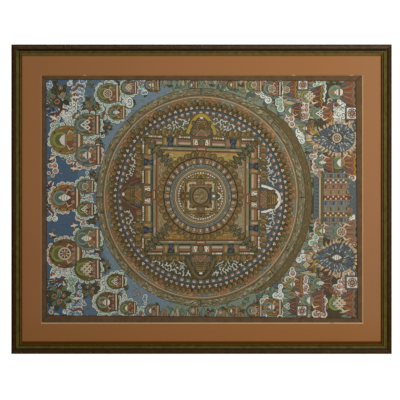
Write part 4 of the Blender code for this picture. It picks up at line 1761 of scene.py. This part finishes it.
# x, z, width, height
LAND_ROCKS = (
    (192, 200, 70, 36), (192, -200, 70, 36), (218, 160, 66, 34), (218, -160, 66, 34), (244, 118, 60, 30),
    (244, -116, 60, 30), (160, 232, 44, 30), (160, -232, 44, 30), (238, 214, 90, 44), (226, 166, 70, 34),
    (316, 236, 60, 34), (242, -154, 90, 40), (230, -214, 90, 44), (316, -232, 60, 34), (256, 82, 80, 36),
    (256, -76, 80, 36), (200, 226, 60, 30), (200, -226, 60, 30),
)
# x, z, length, height, paint, curl
LAND_CLOUDS = (
    (298, 190, 76, 28, "cloud_white", "navy"), (256, 236, 70, 26, "cloud_mint", "mint_deep"),
    (222, 190, 54, 22, "cloud_pink", "maroon"), (316, 132, 70, 22, "cloud_pink", "red_brown"),
    (254, 64, 50, 22, "cloud_pink", "red_brown"), (254, -58, 50, 22, "cloud_pink", "maroon"),
    (316, -130, 70, 22, "cloud_pink", "maroon"), (220, -190, 54, 22, "cloud_pink", "maroon"),
    (300, -192, 76, 28, "cloud_pink", "red_brown"), (258, -236, 70, 26, "cloud_pink", "red_brown"),
    (318, 58, 44, 20, "cloud_pink", "red_brown"), (318, -56, 44, 20, "cloud_white", "sky"),
    (212, 134, 40, 16, "cloud_white", "sky"), (214, -128, 40, 16, "cloud_white", "navy"),
    (168, 206, 44, 16, "cloud_mint", "mint_deep"), (166, -206, 44, 16, "cloud_white", "sky"),
    (140, 222, 40, 18, "cloud_white", "navy"), (190, 170, 36, 18, "cloud_pink", "red_brown"),
    (138, -222, 40, 18, "cloud_pink", "maroon"), (192, -166, 36, 18, "cloud_pink", "red_brown"),
    (240, 92, 40, 14, "cloud_pink", "maroon"), (240, -90, 40, 14, "cloud_mint", "mint_deep"),
    (262, 20, 30, 12, "cloud_mint", "mint_deep"), (120, 238, 34, 14, "cloud_pink", "red_brown"),
)
# x, z, size, emblem, drapery, halo
LAND_DRAPED = (
    (300, 222, 28, 0, "rust", "aqua"), (236, 214, 23, 4, "red_brown", "halo_green"),
    (258, 178, 21, 2, "rust", "aqua"), (304, 74, 26, 5, "rust", "halo_green"),
    (262, 74, 19, 3, "rust", "aqua"), (304, -72, 26, 1, "pink_brown", "aqua"),
    (262, -70, 19, 0, "blue_grey", "halo_green"), (258, -180, 21, 3, "red_brown", "aqua"),
    (300, -222, 28, 4, "rust", "halo_green"), (238, -216, 23, 5, "rust", "aqua"),
    (186, 228, 18, 1, "rust", "halo_green"), (188, -228, 18, 2, "red_brown", "aqua"),
    (196, 184, 17, 5, "red_brown", "aqua"), (224, 146, 15, 0, "rust", "halo_green"),
    (198, -182, 17, 0, "rust", "halo_green"), (226, -142, 15, 4, "red_brown", "aqua"),
)
# x, z, half its width
LAND_TILES = (
    (318, 178, 15), (318, -178, 15), (214, 238, 12), (212, -238, 12),
)
# x, z
LAND_ROUNDELS = (
    (248, 48), (246, -48), (284, 196), (284, -198), (240, 100), (240, -100), (322, 96), (322, -98),
    (210, 206), (210, -206),
)
# x, z, turn
LAND_RIBBONS = (
    (276, 196, 30), (276, -198, -30), (238, 140, -50), (238, -138, 50), (322, 150, 10), (322, -152, -10),
)


def paint_land_side(b):
    chance = random.Random(22)
    for x, z, width, height in LAND_ROCKS:
        paint_rocks(b.at(x, z, UP), width, height, chance)
    for x, z, length, height, paint, curl in LAND_CLOUDS:
        paint_cloud(b.at(x, z, UP), cloud_lobes(length, height, chance), paint, curl, chance)
    for x, z, *motif in LAND_DRAPED:
        paint_draped(b.at(x, z, UP), *motif, chance)
    for z in (126, -126):
        paint_flames(b.at(286, z, UP), 34, 42, chance)
        EMBLEMS[WHEEL if z > 0 else CONCH](b.at(286, z, UP, 10))
    paint_canopy(b.at(284, 0, UP), 104, 54)
    for x, z, half in LAND_TILES:
        paint_tile_panel(b.at(x, z), half, chance)
    for x, z in LAND_ROUNDELS:
        paint_roundel(b.at(x, z), 6, chance)
    for x, z, turn in LAND_RIBBONS:
        paint_ribbon(b.at(x, z, turn), 28, pick(chance, "rust mustard slate"), chance)


def paint_top_and_bottom(b):
    chance = random.Random(23)
    for sign in (1, -1):
        turn = 180 if sign > 0 else 0
        for x in (-78, -46, -14, 18, 50, 82, 114, 146):
            paint_rocks(b.at(x + chance.uniform(-5, 5), sign * 256, turn), 38, chance.uniform(24, 36), chance)
        for x in (-118, 132, 166):
            paint_cloud(b.at(x, sign * 238, UP), cloud_lobes(40, 18, chance),
                        pick(chance, "cloud_mint cloud_blue cloud_pink"), pick(chance, "sky navy"), chance)
        for x, size in ((-104, 14), (112, 15), (150, 18), (-18, 9), (66, 10)):
            lift = 238 if abs(x) < 120 else 230
            glory = pick(chance, "gold halo_olive blue_grey")
            paint_haloed(b.at(x, sign * lift, UP), size, chance.randrange(len(EMBLEMS)), glory, "brown_warm",
                         pick(chance, "aqua halo_green"), chance)
        for x in (-76, 40, -128, 132, 14, 88):
            paint_roundel(b.at(x, sign * chance.uniform(238, 244)), 5.0, chance)
        for x in (-60, -36, 28, 54, 92):
            leaf = b.at(x, sign * 236, chance.uniform(-120, -60))
            paint_leaf(leaf, 13, 5.5, pick(chance, "leaf mint_deep olive"))


# Paint and curl of the small puffs, over the sky and over the land.
SKY_PUFFS = (
    ("cloud_white", "sky"), ("cloud_pink", "red_brown"), ("cloud_mint", "mint_deep"),
    ("cloud_blue", "navy"),
)
LAND_PUFFS = (
    ("cloud_pink", "maroon"), ("tan_grey", "red_brown"), ("aqua", "slate"), ("pink_brown", "maroon"),
)


def paint_strewn(b):
    """Small puffs, leaves and flowers over the ground that the larger motifs leave bare."""
    chance = random.Random(25)
    placed = []
    while len(placed) < STREWN_COUNT:
        x, z = chance.uniform(-322, 322), chance.uniform(-246, 246)
        away = math.hypot(x / MANDALA_STRETCH[0], z / MANDALA_STRETCH[1])
        least = 234 if x < 60 else 246
        crowded = any(math.hypot(x - px, z - pz) < STREWN_APART for px, pz in placed)
        if away < least or is_open_sky(x, z) or crowded:
            continue
        placed.append((x, z))
        spot = b.at(x, z, UP + chance.uniform(-40, 40))
        kind = chance.random()
        if kind < (0.5 if x < 0 else 0.35):
            paint, curl = chance.choice(SKY_PUFFS if x < 0 else LAND_PUFFS)
            paint_puff(spot, paint, curl, chance)
        elif kind < 0.8:
            for lean in (-50, 0, 50):
                length = chance.uniform(9, 14)
                paint_leaf(spot.at(0, 0, lean), length, 5.5, pick(chance, "leaf olive mint_deep leaf_deep"))
        else:
            paint_roundel(spot, chance.uniform(4.2, 5.6), chance)


def paint_halo_shade(b):
    """The plain dark olive band outside the stone ring, on the right, thin at its ends."""
    steps = 32
    outer = []
    inner = []
    for i in range(steps + 1):
        angle = HALO_START + (HALO_END - HALO_START) * i / steps
        swell = min(1.0, min(i, steps - i) / 5) ** 0.6
        outer.append(mandala_place(STONE_OUT + (HALO_OUT - STONE_OUT) * swell, angle))
        inner.append(mandala_place(STONE_OUT - 6, angle))
    b.fill(outer + inner[::-1], "halo_olive", 0.8, "line_dark", tint=0.0)
    chance = random.Random(24)
    for _ in range(HALO_FLECKS):
        share = chance.random()
        angle = HALO_START + (HALO_END - HALO_START) * share
        swell = min(1.0, min(share, 1 - share) * 6) ** 0.6
        out = chance.uniform(0.1, 0.95) * (HALO_OUT - STONE_OUT) * swell
        reach = chance.uniform(2.0, 6.0)
        spot = b.at(*mandala_place(STONE_OUT + out, angle), angle + 90 + chance.uniform(-20, 20))
        spot.fleck(0.7, reach, pick(chance, "olive line_brown brown_warm tan"))


# ---------------------------------------------------------------- from shapes to cloth

def paint_everything():
    painting = Painting(PICTURE_WIDTH / 2 + PAINT_MARGIN, PICTURE_HEIGHT / 2 + PAINT_MARGIN)
    b = Brush(painting)
    paint_scenery(b)
    mandala = Brush(painting, *MANDALA_MIDDLE, size=MANDALA_SIZE, stretch=MANDALA_STRETCH)
    for paint_part in (paint_halo_shade, paint_stone_ring, paint_segment_ring, paint_petal_ring,
                       paint_blue_ring, paint_grounds):
        paint_part(mandala)
    paint_palace(b)
    return painting


def seen_paints(painting, points, faces):
    """The arrangement of all outlines, each triangle with the paint that was laid on last."""
    found, _edges, triangles, _v, _e, sources = delaunay_2d_cdt(points, [], faces, 1, 0.01)
    covered = [0.0] * len(faces)
    for (a, b, c), source in zip(triangles, sources):
        size = abs(turn_of(found[a], found[b], found[c])) / 2
        for k in source:
            covered[k] += size
    spilt = {k for k, face in enumerate(faces)
             if covered[k] > 2 + 1.5 * area_of([points[i] for i in face])}
    keys = [CANVAS_KEY] + painting.keys
    seen = [keys[max((k for k in source if k not in spilt), default=0)] for source in sources]
    return found, triangles, seen


def flat_front(painting, half_x, half_z, shift_x, shift_z):
    """The cloth's front in triangles, one paint each, without the edges that don't show."""
    corners = [(-half_x, -half_z), (half_x, -half_z), (half_x, half_z), (-half_x, half_z)]
    points = [Vector((x + shift_x, z + shift_z)) for x, z in corners] + [Vector(p) for p in painting.points]
    faces = [[0, 1, 2, 3]] + [[i + 4 for i in face] for face in painting.faces]
    found, triangles, seen = seen_paints(painting, points, faces)
    flat = bpy.data.meshes.new("flat_front")
    flat.from_pydata([(p.x, 0, p.y) for p in found], [], triangles)
    flat.polygons.foreach_set("material_index", seen)
    mesh = bmesh.new()
    mesh.from_mesh(flat)
    bpy.data.meshes.remove(flat)
    bmesh.ops.dissolve_limit(mesh, angle_limit=0.02, use_dissolve_boundaries=False, verts=mesh.verts,
                             edges=mesh.edges, delimit={"MATERIAL"})
    bmesh.ops.triangulate(mesh, faces=mesh.faces)
    print("painted cloth:", len(painting.faces), "shapes,", len(mesh.faces), "triangles")
    return mesh


# The cloth's second material slot.
BARE_CANVAS = 1
# The front's map fills the square but for an inset. The back and the edges have a corner of it.
MAP_SCALE, MAP_INSET, MAP_CORNER = 0.98, 0.01, 0.2


def colour_faces(data, keys):
    """Each corner's colour from its face's paint and how thickly it was laid on."""
    table = np.ones((len(PAINTS) * TINTS, 4), np.float32)
    for i, rgb in enumerate(PAINTS.values()):
        for level in range(TINTS):
            table[i * TINTS + level, :3] = np.array(linear(rgb)) * (1 + TINT_STEP * (level - MIDDLE_TINT))
    colours = np.tile(table[CANVAS_KEY], (len(data.loops), 1))
    colours[:3 * len(keys)] = np.repeat(table[keys], 3, axis=0)
    layer = data.color_attributes.new("paint", "FLOAT_COLOR", "CORNER")
    layer.data.foreach_set("color", colours.ravel())
    for polygon in data.polygons[len(keys):]:
        polygon.material_index = BARE_CANVAS


def add_bake_map(data, front_faces):
    """A flat map of the front, with the back and the edges in a corner of their own."""
    co = np.zeros(len(data.vertices) * 3, np.float32)
    data.vertices.foreach_get("co", co)
    co = co.reshape(-1, 3)
    low, high = co.min(0), co.max(0)
    width = high[0] - low[0]
    loops = np.zeros(len(data.loops), np.int32)
    data.loops.foreach_get("vertex_index", loops)
    u = (co[loops, 0] - low[0]) / width * MAP_SCALE + MAP_INSET
    v = (co[loops, 2] - low[2]) / width * MAP_SCALE + MAP_INSET
    tail = 3 * front_faces
    u[tail:] = u[tail:] * MAP_CORNER
    v[tail:] = v[tail:] * MAP_CORNER + 1 - MAP_CORNER
    layer = data.uv_layers.new(name="OFBake")
    layer.data.foreach_set("uv", np.stack([u, v], 1).astype(np.float32).ravel())


def make_cloth():
    """One closed sheet: its front holds the painting's shapes, its back and edges are bare."""
    low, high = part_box("painted_cloth")
    half_x, half_z = (high.x - low.x) / 2 / MM, (high.z - low.z) / 2 / MM
    shift_x, shift_z = ((high.x + low.x) / 2 - PICTURE_X) / MM, ((high.z + low.z) / 2 - PICTURE_Z) / MM
    mesh = flat_front(paint_everything(), half_x, half_z, shift_x, shift_z)
    keys = [face.material_index for face in mesh.faces]
    rim = sorted((v for v in mesh.verts if v.is_boundary),
                 key=lambda v: math.atan2((v.co.z - shift_z) / half_z, (v.co.x - shift_x) / half_x))
    mesh.verts.index_update()
    mesh.faces.ensure_lookup_table()
    edge = [v.index for v in rim]
    verts = [(PICTURE_X + v.co.x * MM, low.y, PICTURE_Z + v.co.z * MM) for v in mesh.verts]
    faces = [tuple(v.index for v in face.verts) for face in mesh.faces]
    if mesh.faces[0].normal.y > 0:
        faces = [face[::-1] for face in faces]
    mesh.free()
    first, size = len(verts), len(edge)
    verts += [(verts[i][0], high.y, verts[i][2]) for i in edge]
    for k in range(size):
        j = (k + 1) % size
        faces.append((edge[j], edge[k], first + k, first + j))
    faces.append(tuple(first + k for k in range(size - 1, -1, -1)))
    data = bpy.data.meshes.new("painted_cloth_sheet")
    data.from_pydata(verts, [], faces)
    colour_faces(data, keys)
    add_bake_map(data, len(keys))
    materials = [paint_material(), canvas_material()]
    piece = new_piece("painted_cloth_sheet", data, materials, "painted_cloth", "painted_cloth")
    return piece


# ---------------------------------------------------------------- camera, light and floor

# The photograph's side in pixels, a pixel's size in the picture's plane, and where the frame's
# middle falls in it, from its top left corner.
PHOTO_SIZE = 400
PHOTO_SCALE = 2.114 * MM
FRAME_MIDDLE_PIXEL = (201.5, 199.2)
CAMERA_DISTANCE = 2.6
SENSOR_WIDTH = 36.0


def make_camera():
    """Face on, so that the frame falls where it does in the photograph."""
    camera = bpy.data.objects.new("camera", bpy.data.cameras.new("camera"))
    bpy.context.scene.collection.objects.link(camera)
    camera.data.sensor_width = SENSOR_WIDTH
    camera.data.lens = SENSOR_WIDTH * CAMERA_DISTANCE / (PHOTO_SIZE * PHOTO_SCALE)
    right = (FRAME_MIDDLE_PIXEL[0] - PHOTO_SIZE / 2) * PHOTO_SCALE
    down = (FRAME_MIDDLE_PIXEL[1] - PHOTO_SIZE / 2) * PHOTO_SCALE
    camera.location = (MIDDLE_X - right, -CAMERA_DISTANCE, MIDDLE_Z + down)
    camera.rotation_euler = (math.radians(90), 0, 0)
    camera.data.clip_start = 0.05
    camera.data.clip_end = 50.0
    bpy.context.scene.camera = camera


def make_area_light(name, place, aim, size, power, colour):
    """A square light, placed and aimed from the frame's middle; it aims at the picture's plane."""
    light = bpy.data.lights.new(name, "AREA")
    light.shape = "SQUARE"
    light.size = size
    light.energy = power
    light.color = colour
    lamp = bpy.data.objects.new(name, light)
    bpy.context.scene.collection.objects.link(lamp)
    lamp.location = Vector((MIDDLE_X, 0, MIDDLE_Z)) + Vector(place)
    target = Vector((MIDDLE_X + aim[0], 0, MIDDLE_Z + aim[1]))
    lamp.rotation_euler = (target - lamp.location).to_track_quat("-Z", "Y").to_euler()


# How bright the room is as light, and how bright it is to the camera.
ROOM_LIGHT, ROOM_SEEN = 0.145, 1.05
# How far below the frame's middle the floor lies, and its radius, in metres.
FLOOR_DROP, FLOOR_RADIUS = 0.62, 0.9


def make_world():
    """White to the camera, a softer white as light."""
    world = bpy.data.worlds.new("studio")
    bpy.context.scene.world = world
    world.use_nodes = True
    tree = world.node_tree
    ground = tree.nodes["Background"]
    ground.inputs["Color"].default_value = (1.0, 0.96, 0.88, 1)
    ground.inputs["Strength"].default_value = ROOM_LIGHT
    seen = tree.nodes.new("ShaderNodeBackground")
    seen.inputs["Color"].default_value = (1, 1, 1, 1)
    seen.inputs["Strength"].default_value = ROOM_SEEN
    rays = tree.nodes.new("ShaderNodeLightPath")
    mix = tree.nodes.new("ShaderNodeMixShader")
    tree.links.new(rays.outputs["Is Camera Ray"], mix.inputs["Fac"])
    tree.links.new(ground.outputs["Background"], mix.inputs[1])
    tree.links.new(seen.outputs["Background"], mix.inputs[2])
    tree.links.new(mix.outputs["Shader"], tree.nodes["World Output"].inputs["Surface"])


def make_floor():
    """A pale round floor, below the picture and short of the camera's view."""
    n = Nodes("floor_paint", 0.7, 0.1 * MM)
    n.colour(n.mix(n.remap(n.noise(60, 3.0, 0.6), 0.3, 0.7), (0.78, 0.78, 0.77), (0.84, 0.84, 0.83)))
    bpy.ops.mesh.primitive_circle_add(vertices=96, radius=FLOOR_RADIUS, fill_type="NGON",
                                      location=(MIDDLE_X, 0, MIDDLE_Z - FLOOR_DROP))
    floor = bpy.context.object
    floor.name = "floor"
    floor.data.materials.append(n.material)


# Name, place from the frame's middle, aim in the picture's plane, size, power and colour.
LIGHTS = (
    ("key", (0.61, -1.27, 0.2), (0.34, 0.9), 0.8, 17.8, (0.985, 1.0, 1.02)),
    ("fill", (-0.62, -0.6, 0.08), (-0.4, 0.06), 0.4, 0.24, (1.0, 1.0, 1.0)),
    ("back", (-0.5, 1.3, 0.5), (0.0, 0.0), 0.8, 12.0, (1.0, 1.0, 1.0)),
)


def make_stage():
    bpy.context.scene.view_settings.view_transform = "Standard"
    bpy.context.scene.view_settings.look = "None"
    make_world()
    make_floor()
    for light in LIGHTS:
        make_area_light(*light)
    make_camera()


def main():
    make_stage()
    make_rails()
    make_window_mat()
    make_cloth()
    cotton = border_cloth_material()
    for name in ("border_top", "border_bottom", "border_left", "border_right"):
        make_strip(name, cotton)
    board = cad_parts["backing_board"]
    board.data.materials.clear()
    board.data.materials.append(board_material())


main()
